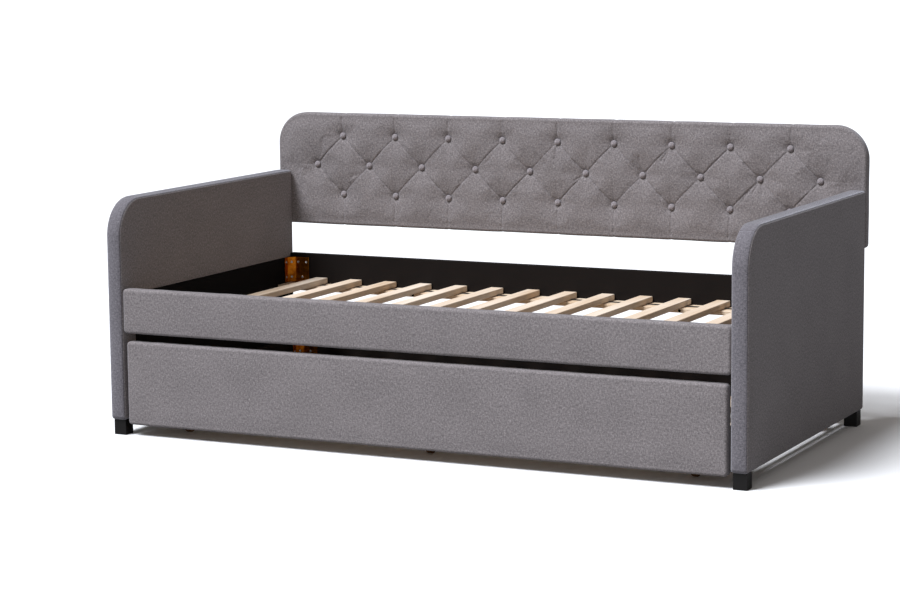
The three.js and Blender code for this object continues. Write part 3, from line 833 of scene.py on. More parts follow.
def front_and_top(border):
    """1 along the arm's front and top and 0 below and behind, faded at each end."""
    from_foot = (border[:, 1] - arm_low.z - SQUARE_CORNER) / SEAM_FADE
    from_back = (arm_high.y - SQUARE_CORNER - border[:, 0]) / SEAM_FADE
    return np.clip(np.minimum(from_foot, from_back), 0, 1)


def arm_place(side):
    """Places a panel's p, q and t on an arm: p backwards, q up, t outwards."""
    def place(p, q, t):
        return np.stack([side * (arm_middle + t), p, q], -1)
    return place


strip_join = np.array([
    arm_low.y + ARM_CORNER - (ARM_CORNER - ARM_EDGE) * math.cos(JOIN_ANGLE),
    arm_high.z - ARM_CORNER + (ARM_CORNER - ARM_EDGE) * math.sin(JOIN_ANGLE),
])
arm_grid = PanelGrid(
    (arm_low.y, arm_high.y),
    (arm_low.z, arm_high.z),
    (SQUARE_CORNER, SQUARE_CORNER, ARM_CORNER, SQUARE_CORNER),
    ARM_EDGE,
    PANEL_SPACING,
    hems=((*window_p, strip_join[0]), window_q),
)
arm_seams = (seam_at, arm_section - seam_at)
arm_edge_lines = seam_lines(arm_section, arm_seams, ARM_EDGE_LINES)
between_seams = (arm_edge_lines > arm_seams[0] - WELD) & (arm_edge_lines < arm_seams[1] + WELD)
on_strip = front_and_top(arm_grid.border) > 0
boxing = ((on_strip[:-1] & on_strip[1:])[:, None]
          & (between_seams[:-1] & between_seams[1:])[None, :])

for side, name, seed in ((-1, "left", 11), (1, "right", 12)):
    soft = swell(arm_grid.distance, FOAM_REACH)
    outer_wave = slow_waves(arm_grid.p, arm_grid.q, FOAM_WAVE, OUTER_WAVE, seed)
    inner_wave = slow_waves(arm_grid.p, arm_grid.q, FOAM_WAVE, INNER_WAVE, seed + 40)
    outer = soft * (OUTER_CROWN + outer_wave)
    inner = soft * (INNER_CROWN + inner_wave)
    hole = inside_window(arm_grid.p, arm_grid.q, window_p, window_q)
    inner = inner * (1 - hole) - WINDOW_DEPTH * hole
    roll = boxed_edge(arm_seams, front_and_top, BOXING_CROWN,
                      strip_join if side > 0 else None, seed)
    patches = panel_patches(arm_grid, arm_thickness, ARM_EDGE, arm_edge_lines,
                            arm_place(side), outer, inner, roll)
    # The boxing strip's quads take the darker copy of the cover fabric: painted shade.
    cover = build_piece(f"{name}_arm_upholstery", patches, cover_fabric, (boxing_fabric, boxing))
    hand_over(cover, "daybed", "woven_fabric", f"{name}_arm_cover")

# %% [markdown]
# ## Arm linings
#
# The lining is one flat sheet, stapled to the core under the hem. It is stretched, but not as
# tight as the cover, so it lies in faint hollows between the staples. A thin closed sheet is
# enough: two grids, one close behind the other, and a rim that joins them. A Solidify modifier
# would give the same wall, but not a UV map on the rim.

# %% Arm linings
LINING_THICKNESS = 0.6 * MM
LINING_SAG = 0.5 * MM
LINING_SPACING = 16 * MM
SAG_LENGTH = 0.12             # from one hollow to the next
STAPLED_RIM = 15 * MM         # the rim that the staples hold flat


def flat_sheet(name, p_range, q_range, spacing, place, sag, seed, finish, thickness):
    """A rectangular sheet of cloth with shallow hollows, as two skins thickness apart."""
    p = np.linspace(*p_range, math.ceil((p_range[1] - p_range[0]) / spacing) + 1)[:, None]
    q = np.linspace(*q_range, math.ceil((q_range[1] - q_range[0]) / spacing) + 1)[None, :]
    p, q = np.broadcast_arrays(p, q)
    edge = np.minimum.reduce([p - p_range[0], p_range[1] - p, q - q_range[0], q_range[1] - q])
    hollow = slow_waves(p, q, SAG_LENGTH, sag, seed) * swell(edge, STAPLED_RIM)
    cloth = np.stack([p, q], -1)
    front = place(p, q, hollow)
    back = place(p, q, hollow - thickness)
    rim = np.concatenate([front[0], front[1:, -1], front[-1, -2::-1], front[-2::-1, 0]])
    rim_back = np.concatenate([back[0], back[1:, -1], back[-1, -2::-1], back[-2::-1, 0]])
    rim_cloth = np.concatenate([cloth[0], cloth[1:, -1], cloth[-1, -2::-1], cloth[-2::-1, 0]])
    patches = [
        (front, cloth),
        (back, cloth),
        (np.stack([rim, rim_back], 1), np.stack([rim_cloth, rim_cloth], 1)),
    ]
    return build_piece(name, patches, finish)


def lining_place(side):
    """Places a lining on an arm's inner side: p backwards, q up, t towards the mattress."""
    def place(p, q, t):
        x = side * (arm_low.x + LINING_DEPTH - t)
        return np.stack([x, p, q], -1)
    return place


for side, name, seed in ((-1, "left", 21), (1, "right", 22)):
    lining = flat_sheet(f"{name}_arm_lining_cloth", window_p, window_q, LINING_SPACING,
                        lining_place(side), LINING_SAG, seed, lining_cloth, LINING_THICKNESS)
    hand_over(lining, "daybed", "black_lining", f"{name}_arm_lining")

# %% [markdown]
# ## Front rail and trundle front
#
# Both are boards with foam on the front and cloth pulled round all four edges and stapled
# behind, so they have no seams, and their edges are only rounded. Behind, the cloth ends in a hem
# round a window that shows the board.

# %% Front rail and trundle front
RAIL_EDGE = 9 * MM
RAIL_HEM = 8 * MM
RAIL_CORNER = 2.5 * MM        # by which a corner is rounder than the edge
RAIL_FOAM_REACH = 22 * MM
RAIL_WAVE = 0.3
RAIL_WAVE_HEIGHT = 0.55 * MM
RAIL_CROWN = 1.6 * MM
TRUNDLE_CROWN = 2 * MM
BACK_RECESS = 3 * MM          # of the board inside the hem, behind
EDGE_LINES = 17
DENT_SPACING = 70 * MM
DENT_DEPTH = 0.35 * MM


def front_place(middle_y):
    """Places a panel that faces the front: p to the right, q up, t forwards."""
    def place(p, q, t):
        return np.stack([p, middle_y - t, q], -1)
    return place


def pulled_edge(seed):
    """Relief of a rolled edge with no seam: slight dents where the staples behind pull."""
    def relief(around, path, _border):
        total = path.max()
        dents = slow_waves(around, 0 * around, DENT_SPACING, DENT_DEPTH, seed)
        return dents * np.sin(np.pi * path / total)
    return relief


def fronted_board(name, node, body, crown, seed):
    """An upholstered board that stands for a CAD cover, at that cover's box."""
    low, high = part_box(node)
    thickness = high.y - low.y
    hem_p = (low.x + RAIL_HEM, high.x - RAIL_HEM)
    hem_q = (low.z + RAIL_HEM, high.z - RAIL_HEM)
    corner = RAIL_EDGE + RAIL_CORNER
    grid = PanelGrid((low.x, high.x), (low.z, high.z), [corner] * 4, RAIL_EDGE, PANEL_SPACING,
                     hems=(hem_p, hem_q))
    soft = swell(grid.distance, RAIL_FOAM_REACH)
    face = soft * (crown + slow_waves(grid.p, grid.q, RAIL_WAVE, RAIL_WAVE_HEIGHT, seed))
    back = -BACK_RECESS * inside_window(grid.p, grid.q, hem_p, hem_q)
    section = RAIL_EDGE * math.pi + thickness - 2 * RAIL_EDGE
    lines = np.linspace(0, section, EDGE_LINES)
    patches = panel_patches(grid, thickness, RAIL_EDGE, lines, front_place((low.y + high.y) / 2),
                            face, back, pulled_edge(seed))
    piece = build_piece(name, patches, cover_fabric)
    hand_over(piece, body, "woven_fabric", node)


fronted_board("front_rail_upholstery", "front_rail_cover", "daybed", RAIL_CROWN, 31)
fronted_board("trundle_front_upholstery", "trundle_front_cover", "trundle", TRUNDLE_CROWN, 32)

# %% [markdown]
# ## Tufted backrest
#
# The backrest is a board with thicker foam. Buttons are pulled through it in three rows, and
# each row lies half a step across from the next, so the buttons stand on diamonds. A button
# makes a steep dimple. Between two neighbours the cloth has nowhere to go, so it folds: thin
# folds along the diagonals, and pleats from the outer rows to the edges. Here and there a short
# stray wrinkle runs out from a button. The foam swells a little between them. The first shape is
# worked out: a bell round each button takes the swell away, and a dimple is exp(-r / reach) past
# the button's rim. Then the cloth is cut slightly larger than that shape and simulated, held at
# the buttons and the border, with pressure from the foam, so that it finds its own unevenness.
# Last, the folds are pressed in, because they are narrower than the simulation's grid: a fold is
# exp(-d / width) for a distance d from a line between two points.

# %% Where the buttons go
BUTTON_STEPS = 10.5           # button steps in the backrest's width
BUTTON_LIFT = 15 * MM         # of the middle row, above the backrest's middle

back_low, back_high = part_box("backrest_cushion")
button_step = (back_high.x - back_low.x) / BUTTON_STEPS
middle_row = (back_low.z + back_high.z) / 2 + BUTTON_LIFT
outer_columns = np.arange(-4, 5) * button_step
inner_columns = (np.arange(-5, 5) + 0.5) * button_step
rows = [
    (middle_row + button_step / 2, outer_columns),
    (middle_row, inner_columns),
    (middle_row - button_step / 2, outer_columns),
]
buttons = np.array([(x, z) for z, columns in rows for x in columns])
print("buttons:", len(buttons), "with a step of", round(button_step, 3), "m")

# %% The tufted relief
FOAM_SWELL = 2.3 * MM
DIMPLE_DEPTH = 10.5 * MM
DIMPLE_REACH = 13 * MM
BELL_REACH = 44 * MM
FOLD_WIDTH = 1.4 * MM
RISING_FOLD = 3.7 * MM        # depth of the folds that rise to the right
FALLING_FOLD = 3.1 * MM
PLEAT_DEPTH = 3.8 * MM
PLEAT_WIDTH = 2.1 * MM
STRAY_DEPTH = 4 * MM
STRAY_WIDTH = 2.3 * MM
BUTTON_RADIUS = 10.6 * MM
RIM_SHARE = 0.85              # of the button's radius, inside which the cloth is at its deepest
CLOTH_WAVE = 0.16             # length of the unevenness of the foam
CLOTH_WAVE_HEIGHT = 0.5 * MM
BORDER_REACH = 20 * MM        # past which the swell and the folds are whole
BORDER_PLEAT_REACH = 6 * MM   # the pleats run closer to the border
FOLD_CLEARANCE = 8 * MM       # in which a fold dies out beside a button
UNEVEN = (0.7, 1.2)           # shares of the mean depth between which a fold's is drawn
FOLD_SEED = 5
CLOTH_SEED = 41
PLEAT_LEAN = 4 * MM
UPRIGHT_FOLD = 0.7 * MM       # a shallow trough from the upper row down to the lower one
UPRIGHT_WIDTH = 3 * FOLD_WIDTH
SIDE_PLEAT = 1.2 * MM         # from the middle row's last buttons to the sides
SIDE_PLEAT_WIDTH = 2 * FOLD_WIDTH

# Stray wrinkles: from which row and button, at which angle, where they start and end.
STRAY_WRINKLES = [
    (1, 6, 112, 18 * MM, 66 * MM),
    (1, 6, 99, 16 * MM, 60 * MM),
    (1, 6, 128, 16 * MM, 50 * MM),
    (0, 6, 238, 18 * MM, 62 * MM),
    (0, 6, 249, 20 * MM, 54 * MM),
    (1, 8, 229, 16 * MM, 64 * MM),
    (1, 8, 244, 16 * MM, 52 * MM),
    (1, 8, 283, 16 * MM, 46 * MM),
    (0, 4, 262, 16 * MM, 58 * MM),
    (1, 5, 214, 16 * MM, 44 * MM),
]


def fold(p, q, start, end, depth, width):
    """A fold between two points: depth exp(-d / width) for the distance d to the line between
    them, so it is a sharp valley that ends in the dimples."""
    start, end = np.array(start), np.array(end)
    way = end - start
    along = ((p - start[0]) * way[0] + (q - start[1]) * way[1]) / (way @ way)
    along = np.clip(along, 0, 1)
    distance = np.hypot(p - start[0] - along * way[0], q - start[1] - along * way[1])
    return depth * np.exp(-distance / width)


def button_distance(p, q):
    """How far each point lies from the middle of the button nearest to it."""
    return np.minimum.reduce([np.hypot(p - x, q - z) for x, z in buttons])


def tufting(p, q, distance):
    """Height of the swollen foam under the cloth, with its dimples, over the border's plane."""
    bells = np.zeros(p.shape)
    dimples = np.zeros(p.shape)
    for x, z in buttons:
        r = np.hypot(p - x, q - z)
        bells += np.exp(-(r / BELL_REACH) ** 2)
        dimples += np.exp(-np.clip(r - RIM_SHARE * BUTTON_RADIUS, 0, None) / DIMPLE_REACH)
    waves = slow_waves(p, q, CLOTH_WAVE, CLOTH_WAVE_HEIGHT, CLOTH_SEED)
    height = FOAM_SWELL * (1 - np.clip(bells, 0, 1)) + waves
    return height * swell(distance, BORDER_REACH) - DIMPLE_DEPTH * dimples


def creases(p, q, distance):
    """How deep the folds and pleats lie below the cloth round them."""
    draw = np.random.default_rng(FOLD_SEED)
    upper, middle, lower = rows
    folds = []
    for z, columns in (upper, lower):
        for x in columns:
            for way in (-1, 1):
                rising = (z > middle[0]) == (way < 0)
                depth = (RISING_FOLD if rising else FALLING_FOLD) * draw.uniform(*UNEVEN)
                end = (x + way * button_step / 2, middle[0])
                folds.append(fold(p, q, (x, z), end, depth, FOLD_WIDTH))
    for row, button, angle, start, end in STRAY_WRINKLES:
        x, z = rows[row][1][button], rows[row][0]
        way = np.array([math.cos(math.radians(angle)), math.sin(math.radians(angle))])
        folds.append(fold(p, q, (x, z) + way * start, (x, z) + way * end, STRAY_DEPTH,
                          STRAY_WIDTH))
    for x in upper[1]:
        folds.append(fold(p, q, (x, upper[0]), (x, lower[0]), UPRIGHT_FOLD, UPRIGHT_WIDTH))
    pleats = []
    for z, edge in ((upper[0], back_high.z), (lower[0], back_low.z)):
        for x in upper[1]:
            depth = PLEAT_DEPTH * draw.uniform(*UNEVEN)
            lean = draw.uniform(-PLEAT_LEAN, PLEAT_LEAN)
            pleats.append(fold(p, q, (x, z), (x + lean, edge), depth, PLEAT_WIDTH))
    for x, end in ((middle[1][0], back_low.x), (middle[1][-1], back_high.x)):
        pleats.append(fold(p, q, (x, middle[0]), (end, middle[0]), SIDE_PLEAT,
                           SIDE_PLEAT_WIDTH))
    clear = np.clip((button_distance(p, q) - BUTTON_RADIUS) / FOLD_CLEARANCE, 0, 1)
    inside = np.maximum.reduce(folds) * swell(distance, BORDER_REACH)
    return clear * (inside + np.maximum.reduce(pleats) * swell(distance, BORDER_PLEAT_REACH))


# %% Cloth that settles
CLOTH_FRAMES = 20
CLOTH_QUALITY = 5             # steps for each frame
CLOTH_MASS = 0.3
CLOTH_BENDING = 0.6           # stiff enough that it bulges between buttons and doesn't ripple


def every_second(count):
    """0, 2, 4 and so on, and the last index of count."""
    return np.unique(np.append(np.arange(0, count, 2), count - 1))


def fill_between(values, kept, count):
    """Values along the first axis at count indices, straight between those that are kept."""
    place = np.interp(np.arange(count), kept, np.arange(len(kept)))
    below = np.minimum(place.astype(int), len(kept) - 2)
    share = (place - below).reshape(-1, *[1] * (values.ndim - 1))
    return values[below] * (1 - share) + values[below + 1] * share


def settle_cloth(all_points, all_held, freedom, growth, pressure, cap):
    """Simulates a sheet that is held where all_held is true, and larger by growth than its shape.

    The sheet has no weight, and pressure pushes it off the board. To save time only every second
    row and column take part, and those between move straight between them. No point may move
    further than cap, and each keeps only its freedom's share of the move."""
    rows, columns = [every_second(count) for count in all_held.shape]
    points = all_points[np.ix_(rows, columns)]
    held = all_held[np.ix_(rows, columns)]
    mesh = raw_mesh("settling", points.reshape(-1, 3), grid_faces(*held.shape))
    if mesh.polygons[0].normal.y > 0:
        mesh.flip_normals()
    sheet = bpy.data.objects.new("settling", mesh)
    bpy.context.scene.collection.objects.link(sheet)
    group = sheet.vertex_groups.new(name="held")
    group.add(np.flatnonzero(held).tolist(), 1.0, "REPLACE")
    cloth = sheet.modifiers.new("cloth", "CLOTH")
    cloth.settings.quality = CLOTH_QUALITY
    cloth.settings.mass = CLOTH_MASS
    cloth.settings.vertex_group_mass = "held"
    cloth.settings.effector_weights.gravity = 0
    cloth.settings.use_pressure = True
    cloth.settings.uniform_pressure_force = pressure
    cloth.settings.shrink_min = -growth
    cloth.settings.bending_stiffness = CLOTH_BENDING
    cloth.point_cache.frame_end = CLOTH_FRAMES
    scene = bpy.context.scene
    for step in range(1, CLOTH_FRAMES + 1):
        scene.frame_set(step)
    settled = sheet.evaluated_get(bpy.context.evaluated_depsgraph_get())
    moved = np.empty(len(mesh.vertices) * 3, np.float32)
    settled.data.vertices.foreach_get("co", moved)
    scene.frame_set(1)
    bpy.data.objects.remove(sheet)
    move = moved.reshape(points.shape) - points
    length = np.linalg.norm(move, axis=-1, keepdims=True)
    print("cloth: moved", round(float(length.mean() / MM), 2), "mm on average, at most",
          round(float(length.max() / MM), 2), "mm")
    move = move * np.minimum(1, cap / np.maximum(length, 1e-9))
    move = fill_between(move, rows, all_held.shape[0])
    move = fill_between(move.swapaxes(0, 1), columns, all_held.shape[1]).swapaxes(0, 1)
    return all_points + move * freedom[..., None]


# %% Backrest
BACKREST_EDGE = 9 * MM
BACKREST_CORNER = 105 * MM
BACKREST_FOOT = 12 * MM
CLOTH_GROWTH = 0.0045
CLOTH_PRESSURE = 0.9
CLOTH_CAP = 4 * MM
ARM_CLEARANCE = 8 * MM
ARM_BLEND = 45 * MM
LINES_PER_STEP = 80           # grid columns from a button to the next
PRESSED_DEPTH = 1.5 * MM      # of the cloth behind an arm, below the backrest's border
NOTCH_DEPTH = 2.2 * MM        # of a pleat where it runs over the edge
NOTCH_WIDTH = 4 * MM
BACK_DENT_SPACING = 90 * MM
BACK_DENT = 0.5 * MM
BACK_DENT_SEED = 42
BACK_EDGE_LINES = 15
HELD_RIM = 2 * MM             # of the cloth round a button that the cord holds
HELD_BORDER = 4 * MM
HELD_PRESSED = 0.9            # above this share of pressing, an arm holds the cloth
FREE_FROM_BORDER = 26 * MM    # where the cloth moves as it likes
FREE_FROM_BUTTON = 18 * MM

back_thickness = back_high.y - back_low.y
back_place = front_place((back_low.y + back_high.y) / 2)
back_grid = PanelGrid(
    (back_low.x, back_high.x),
    (back_low.z, back_high.z),
    (BACKREST_FOOT, BACKREST_FOOT, BACKREST_CORNER, BACKREST_CORNER),
    BACKREST_EDGE,
    button_step / LINES_PER_STEP,
    through=(0.0, middle_row),
)
tufted = tufting(back_grid.p, back_grid.q, back_grid.distance)

# Where an arm stands against the backrest its foam is pressed flat, which fades out round it.
beside_arm = (np.abs(back_grid.p) - arm_low.x + ARM_CLEARANCE) / ARM_BLEND + 1
over_arm = (arm_high.z + ARM_CLEARANCE - back_grid.q) / ARM_BLEND + 1
pressed = np.clip(beside_arm, 0, 1) * np.clip(over_arm, 0, 1)
pressed = pressed ** 2 * (3 - 2 * pressed)
flat_depth = PRESSED_DEPTH * swell(back_grid.distance, BORDER_PLEAT_REACH)
flattened = np.minimum(tufted, -flat_depth)
tufted = tufted + pressed * (flattened - tufted)
fold_depth = creases(back_grid.p, back_grid.q, back_grid.distance) * (1 - pressed)


def edge_pleats(around, path, border):
    """Relief of the backrest's edge: a shallow notch where each pleat runs over it."""
    near = sum(np.exp(-np.abs(border[:, :1] - x) / NOTCH_WIDTH) for x in outer_columns)
    dents = slow_waves(around, 0 * around, BACK_DENT_SPACING, BACK_DENT, BACK_DENT_SEED)
    return (dents - NOTCH_DEPTH * near) * np.sin(np.pi * path / path.max())


def flat_back(grid, depth, place):
    """A flat back: each border point is joined to the nearest point of the middle line."""
    middle_q = (grid.q.min() + grid.q.max()) / 2
    reach = (grid.q.max() - grid.q.min()) / 2
    p, q = grid.border.T
    line = np.clip(p, grid.p.min() + reach, grid.p.max() - reach)
    both_p, both_q = np.stack([p, line], 1), np.stack([q, 0 * q + middle_q], 1)
    return place(both_p, both_q, np.full(both_p.shape, depth)), np.stack([both_p, both_q], -1)


back_section = BACKREST_EDGE * math.pi + back_thickness - 2 * BACKREST_EDGE
back_patches = panel_patches(back_grid, back_thickness, BACKREST_EDGE,
                             np.linspace(0, back_section, BACK_EDGE_LINES), back_place,
                             tufted, 0 * tufted, edge_pleats)
back_patches[1] = flat_back(back_grid, -back_thickness / 2, back_place)
face_points, face_cloth = back_patches[0]
from_button = np.clip(button_distance(back_grid.p, back_grid.q) - BUTTON_RADIUS, 0, None)
held = ((from_button < HELD_RIM) | (pressed > HELD_PRESSED)
        | (back_grid.distance < HELD_BORDER))
freedom = (swell(back_grid.distance, FREE_FROM_BORDER)
           * swell(from_button, FREE_FROM_BUTTON) * (1 - pressed))
face_points = settle_cloth(face_points, held, freedom,
                           CLOTH_GROWTH, CLOTH_PRESSURE, CLOTH_CAP)
face_points[..., 1] += fold_depth
back_patches[0] = (face_points, face_cloth)
backrest = build_piece("backrest_upholstery", back_patches, cover_fabric)
hand_over(backrest, "daybed", "woven_fabric", "backrest_cushion")

# %% [markdown]
# ## Buttons
#
# A covered button is a domed metal shell with the same cloth pulled over it. It sits at the
# bottom of its dimple, and a cord through the board holds it. Turning a profile about the
# button's axis gives the dome, a short side and a flat back.

# %% Buttons
BUTTON_HEIGHT = 7 * MM
BUTTON_SINK = 0.5 * MM        # of its rim into the cloth
BUTTON_SIDE = 1.2 * MM        # the straight side under the dome
BUTTON_SIDES = 28
RIM_RING = (1, 1.4)           # in button radii, the cloth whose mean height the button sits on


def turned(profile, centre, axis, steps):
    """Surface of revolution: centre + a axis + r (cos t u + sin t v) for each profile point
    (a, r) and each turn t, where u and v are square to the axis."""
    axis = Vector(axis).normalized()
    u = np.array(axis.orthogonal().normalized())
    v = np.cross(np.array(axis), u)
    profile = np.array(profile)
    turn = np.linspace(0, 2 * np.pi, steps + 1)[:, None, None]
    ring = np.cos(turn) * u + np.sin(turn) * v
    points = np.array(centre) + profile[:, :1] * np.array(axis) + profile[:, 1:] * ring
    length = np.concatenate([[0], np.cumsum(np.hypot(*np.diff(profile, axis=0).T))])
    cloth = np.stack([length * np.cos(turn[..., 0]), length * np.sin(turn[..., 0])], -1)
    return points, cloth


def button_profile():
    """Half an ellipse for the dome, then the side and the back, as (height, radius)."""
    angle = np.linspace(0, np.pi / 2, 9)
    dome = np.stack([BUTTON_SIDE + BUTTON_HEIGHT * np.cos(angle) ** 0.9,
                     BUTTON_RADIUS * np.sin(angle)], -1)
    back = [(-1.5 * MM, BUTTON_RADIUS - 0.6 * MM), (-2.5 * MM, BUTTON_RADIUS - 3 * MM),
            (-2.5 * MM, 0)]
    return np.concatenate([dome, back])


for number, (x, z) in enumerate(buttons, 1):
    away = np.hypot(back_grid.p - x, back_grid.q - z) / BUTTON_RADIUS
    rim = (away > RIM_RING[0]) & (away < RIM_RING[1])
    depth = back_thickness / 2 + tufted[rim].mean() - BUTTON_SINK
    centre = back_place(x, z, depth)
    # The button takes the lighter copy of the cloth, a painted highlight on its dome.
    button = build_piece(
        f"backrest_button_{number:02d}",
        [turned(button_profile(), centre, (0, -1, 0), BUTTON_SIDES)],
        button_fabric,
    )
    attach(button, "daybed")
print("buttons:", len(buttons), "made")

# %% [markdown]
# ## Dust cover behind the backrest
#
# The back of the board is closed with the same black lining as the arms, folded in at its edges
# and stapled all round. It hides the staples that hold the tufting cords.

# %% Dust cover
DUST_COVER_INSET = 9 * MM
DUST_COVER_STAND = 0.4 * MM
DUST_COVER_THICKNESS = 0.6 * MM
DUST_COVER_FOOT = 4 * MM      # radius of its lower corners
DUST_COVER_EDGE = 0.1 * MM    # it has no rolled edge
DUST_COVER_SPACING = 20 * MM
DUST_SAG_LENGTH = 0.14
DUST_SAG = 0.45 * MM
DUST_SAG_SEED = 51

dust_grid = PanelGrid(
    (back_low.x + DUST_COVER_INSET, back_high.x - DUST_COVER_INSET),
    (back_low.z + DUST_COVER_INSET, back_high.z - DUST_COVER_INSET),
    (DUST_COVER_FOOT, DUST_COVER_FOOT,
     BACKREST_CORNER - DUST_COVER_INSET, BACKREST_CORNER - DUST_COVER_INSET),
    DUST_COVER_EDGE,
    DUST_COVER_SPACING,
)
hollow = slow_waves(dust_grid.p, dust_grid.q, DUST_SAG_LENGTH, DUST_SAG, DUST_SAG_SEED)
hollow = hollow * swell(dust_grid.distance, STAPLED_RIM)
dust_cloth = np.stack([dust_grid.p, dust_grid.q], -1)


def behind_place(p, q, t):
    """Places a sheet on the backrest's back: p to the right, q up, t backwards."""
    return np.stack([p, back_high.y + DUST_COVER_STAND + t, q], -1)


outside = behind_place(dust_grid.p, dust_grid.q, DUST_COVER_THICKNESS + np.abs(hollow))
underside = behind_place(dust_grid.p, dust_grid.q, np.abs(hollow))
rim_p, rim_q = dust_grid.border.T
rim = np.stack([behind_place(rim_p, rim_q, 0 * rim_p + DUST_COVER_THICKNESS),
                behind_place(rim_p, rim_q, 0 * rim_p)], 1)
rim_cloth = np.stack([dust_grid.border, dust_grid.border], 1)
dust_cover = build_piece("backrest_dust_cover",
                         [(outside, dust_cloth), (underside, dust_cloth), (rim, rim_cloth)],
                         lining_cloth)
hand_over(dust_cover, "daybed", "black_lining")

# %% [markdown]
# ## Staples
#
# Upholstery staples are flat loops of wire, 10 mm across. A staple is a tube along four points:
# in, across and in again. They come by the dozen, so each has few faces, and a row of them is
# one piece.

# %% Staples
STAPLE_CROWN = 10 * MM
STAPLE_WIRE = 0.55 * MM
STAPLE_STAND = 0.5 * MM
STAPLE_SPACING = 70 * MM      # round the dust cover
STAPLE_RIM = 6 * MM           # from the dust cover's rim
STAPLE_END = 40 * MM          # from the end of a row to its first staple
FRONT_STAPLE_SPACING = 60 * MM


def staple_patches(places, along, out):
    """One tube patch for each place: a ring of six points at each corner of the staple, and a
    closed point at each end."""
    along, out = np.array(along, float), np.array(out, float)
    side = np.cross(along, out)
    corners = [(-1, -1.5), (-1, -1.5), (-1, 1), (1, 1), (1, -1.5), (1, -1.5)]
    sizes = np.array([0, 1, 1, 1, 1, 0]) * STAPLE_WIRE
    turn = np.linspace(0, 2 * np.pi, 7)
    path = np.array([a * along * STAPLE_CROWN / 2 + b * out * STAPLE_STAND for a, b in corners])
    lean = np.array([-1, -1, -1, 1, 1, 1])[:, None, None] * along + out
    ring = np.cos(turn)[None, :, None] * side + np.sin(turn)[None, :, None] * lean * 0.7
    tube = path[:, None, :] + ring * sizes[:, None, None]
    cloth = np.zeros((*tube.shape[:2], 2))
    return [(np.array(place) + tube, cloth) for place in places]


def spaced(low, high, step):
    """Places from low to high, about step apart."""
    return np.linspace(low, high, max(2, round((high - low) / step) + 1))


staple_y = back_high.y + DUST_COVER_STAND + DUST_COVER_THICKNESS
level_places = [
    (x, staple_y, z)
    for x in spaced(back_low.x + BACKREST_CORNER, back_high.x - BACKREST_CORNER,
                    STAPLE_SPACING)
    for z in (back_low.z + DUST_COVER_INSET + STAPLE_RIM,
              back_high.z - DUST_COVER_INSET - STAPLE_RIM)
]
upright_places = [
    (side * (back_high.x - DUST_COVER_INSET - STAPLE_RIM), staple_y, z)
    for side in (-1, 1)
    for z in spaced(back_low.z + STAPLE_END, back_high.z - BACKREST_CORNER, STAPLE_SPACING)
]
staples = staple_patches(level_places, (1, 0, 0), (0, 1, 0))
staples += staple_patches(upright_places, (0, 0, 1), (0, 1, 0))
hand_over(build_piece("dust_cover_staples", staples, bright_zinc), "daybed", "caster_steel")

for name, node, body in (("front_rail_staples", "front_rail_cover", "daybed"),
                         ("trundle_front_staples", "trundle_front_cover", "trundle")):
    low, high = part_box(node)
    places = [
        (x, high.y + 0.1 * MM, z)
        for x in spaced(low.x + STAPLE_END, high.x - STAPLE_END, FRONT_STAPLE_SPACING)
        for z in (low.z + RAIL_HEM / 2 + 1 * MM, high.z - RAIL_HEM / 2 - 1 * MM)
    ]
    hand_over(build_piece(name, staple_patches(places, (1, 0, 0), (0, 1, 0)), bright_zinc),
              body, "caster_steel")

# %% [markdown]
# ## Boards, slats and legs
#
# The wooden parts of the frame have the right shape already, with edges that are sharper than
# planed wood ever is. Their meshes stay as they are. A Weld modifier joins the loose triangles,
# and a Bevel modifier breaks the edges, which is what catches the light along a real slat.

# %% Finish the CAD boards
BEVEL_SEGMENTS = 2
BEVEL_ANGLE = math.radians(35)         # edges sharper than this are broken


def finish_node(name, finish, bevel):
    """Gives a CAD node its material, and rounds its edges by bevel."""
    node = bpy.data.objects[name]
    node.data.materials.clear()
    node.data.materials.append(finish)
    weld = node.modifiers.new("weld", "WELD")
    weld.merge_threshold = WELD
    if bevel > 0:
        rounding = node.modifiers.new("broken_edges", "BEVEL")
        rounding.width = bevel
        rounding.segments = BEVEL_SEGMENTS
        rounding.limit_method = "ANGLE"
        rounding.angle_limit = BEVEL_ANGLE


BOARD_FINISHES = [
    ("slat_", poplar_across_bed, 2.2 * MM),
    ("trundle_slat_roll", poplar_across_bed, 1.8 * MM),
    ("front_ledger", poplar_along_bed, 1.5 * MM),
    ("rear_ledger", poplar_along_bed, 1.5 * MM),
    ("trundle_front_bearer", poplar_along_bed, 1.5 * MM),
    ("trundle_rear_bearer", poplar_along_bed, 1.5 * MM),
    ("back_rail", black_board, 1.5 * MM),
    ("trundle_left_side", black_board, 1.2 * MM),
    ("trundle_right_side", black_board, 1.2 * MM),
    ("trundle_back_board", black_board, 1.2 * MM),
    ("leg_", black_leg, 1.6 * MM),
    ("left_arm_core", birch_plywood, 0),
    ("right_arm_core", birch_plywood, 0),
    ("front_rail_board", birch_plywood, 0.8 * MM),
    ("trundle_front_board", birch_plywood, 0.8 * MM),
    ("backrest_board", birch_plywood, 0),
    ("bracket_", yellow_zinc, 0.5 * MM),
    ("trundle_bracket_", yellow_zinc, 0.5 * MM),
    ("caster_", caster_zinc, 0.5 * MM),
]
finished = 0
for start, finish, bevel in BOARD_FINISHES:
    for node_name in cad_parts:
        if node_name.startswith(start):
            finish_node(node_name, finish, bevel)
            finished += 1
print("CAD nodes finished:", finished)

# %% [markdown]
# ## Screws
#
# Pan-head screws hold the brackets' leaves to the arms and rails. A screw head is a low dome
# with a small hollow in its middle for the driver, so its profile is turned about the screw's
# axis. Each bracket has two on its short leaf, two on its web and three on its long leaf.

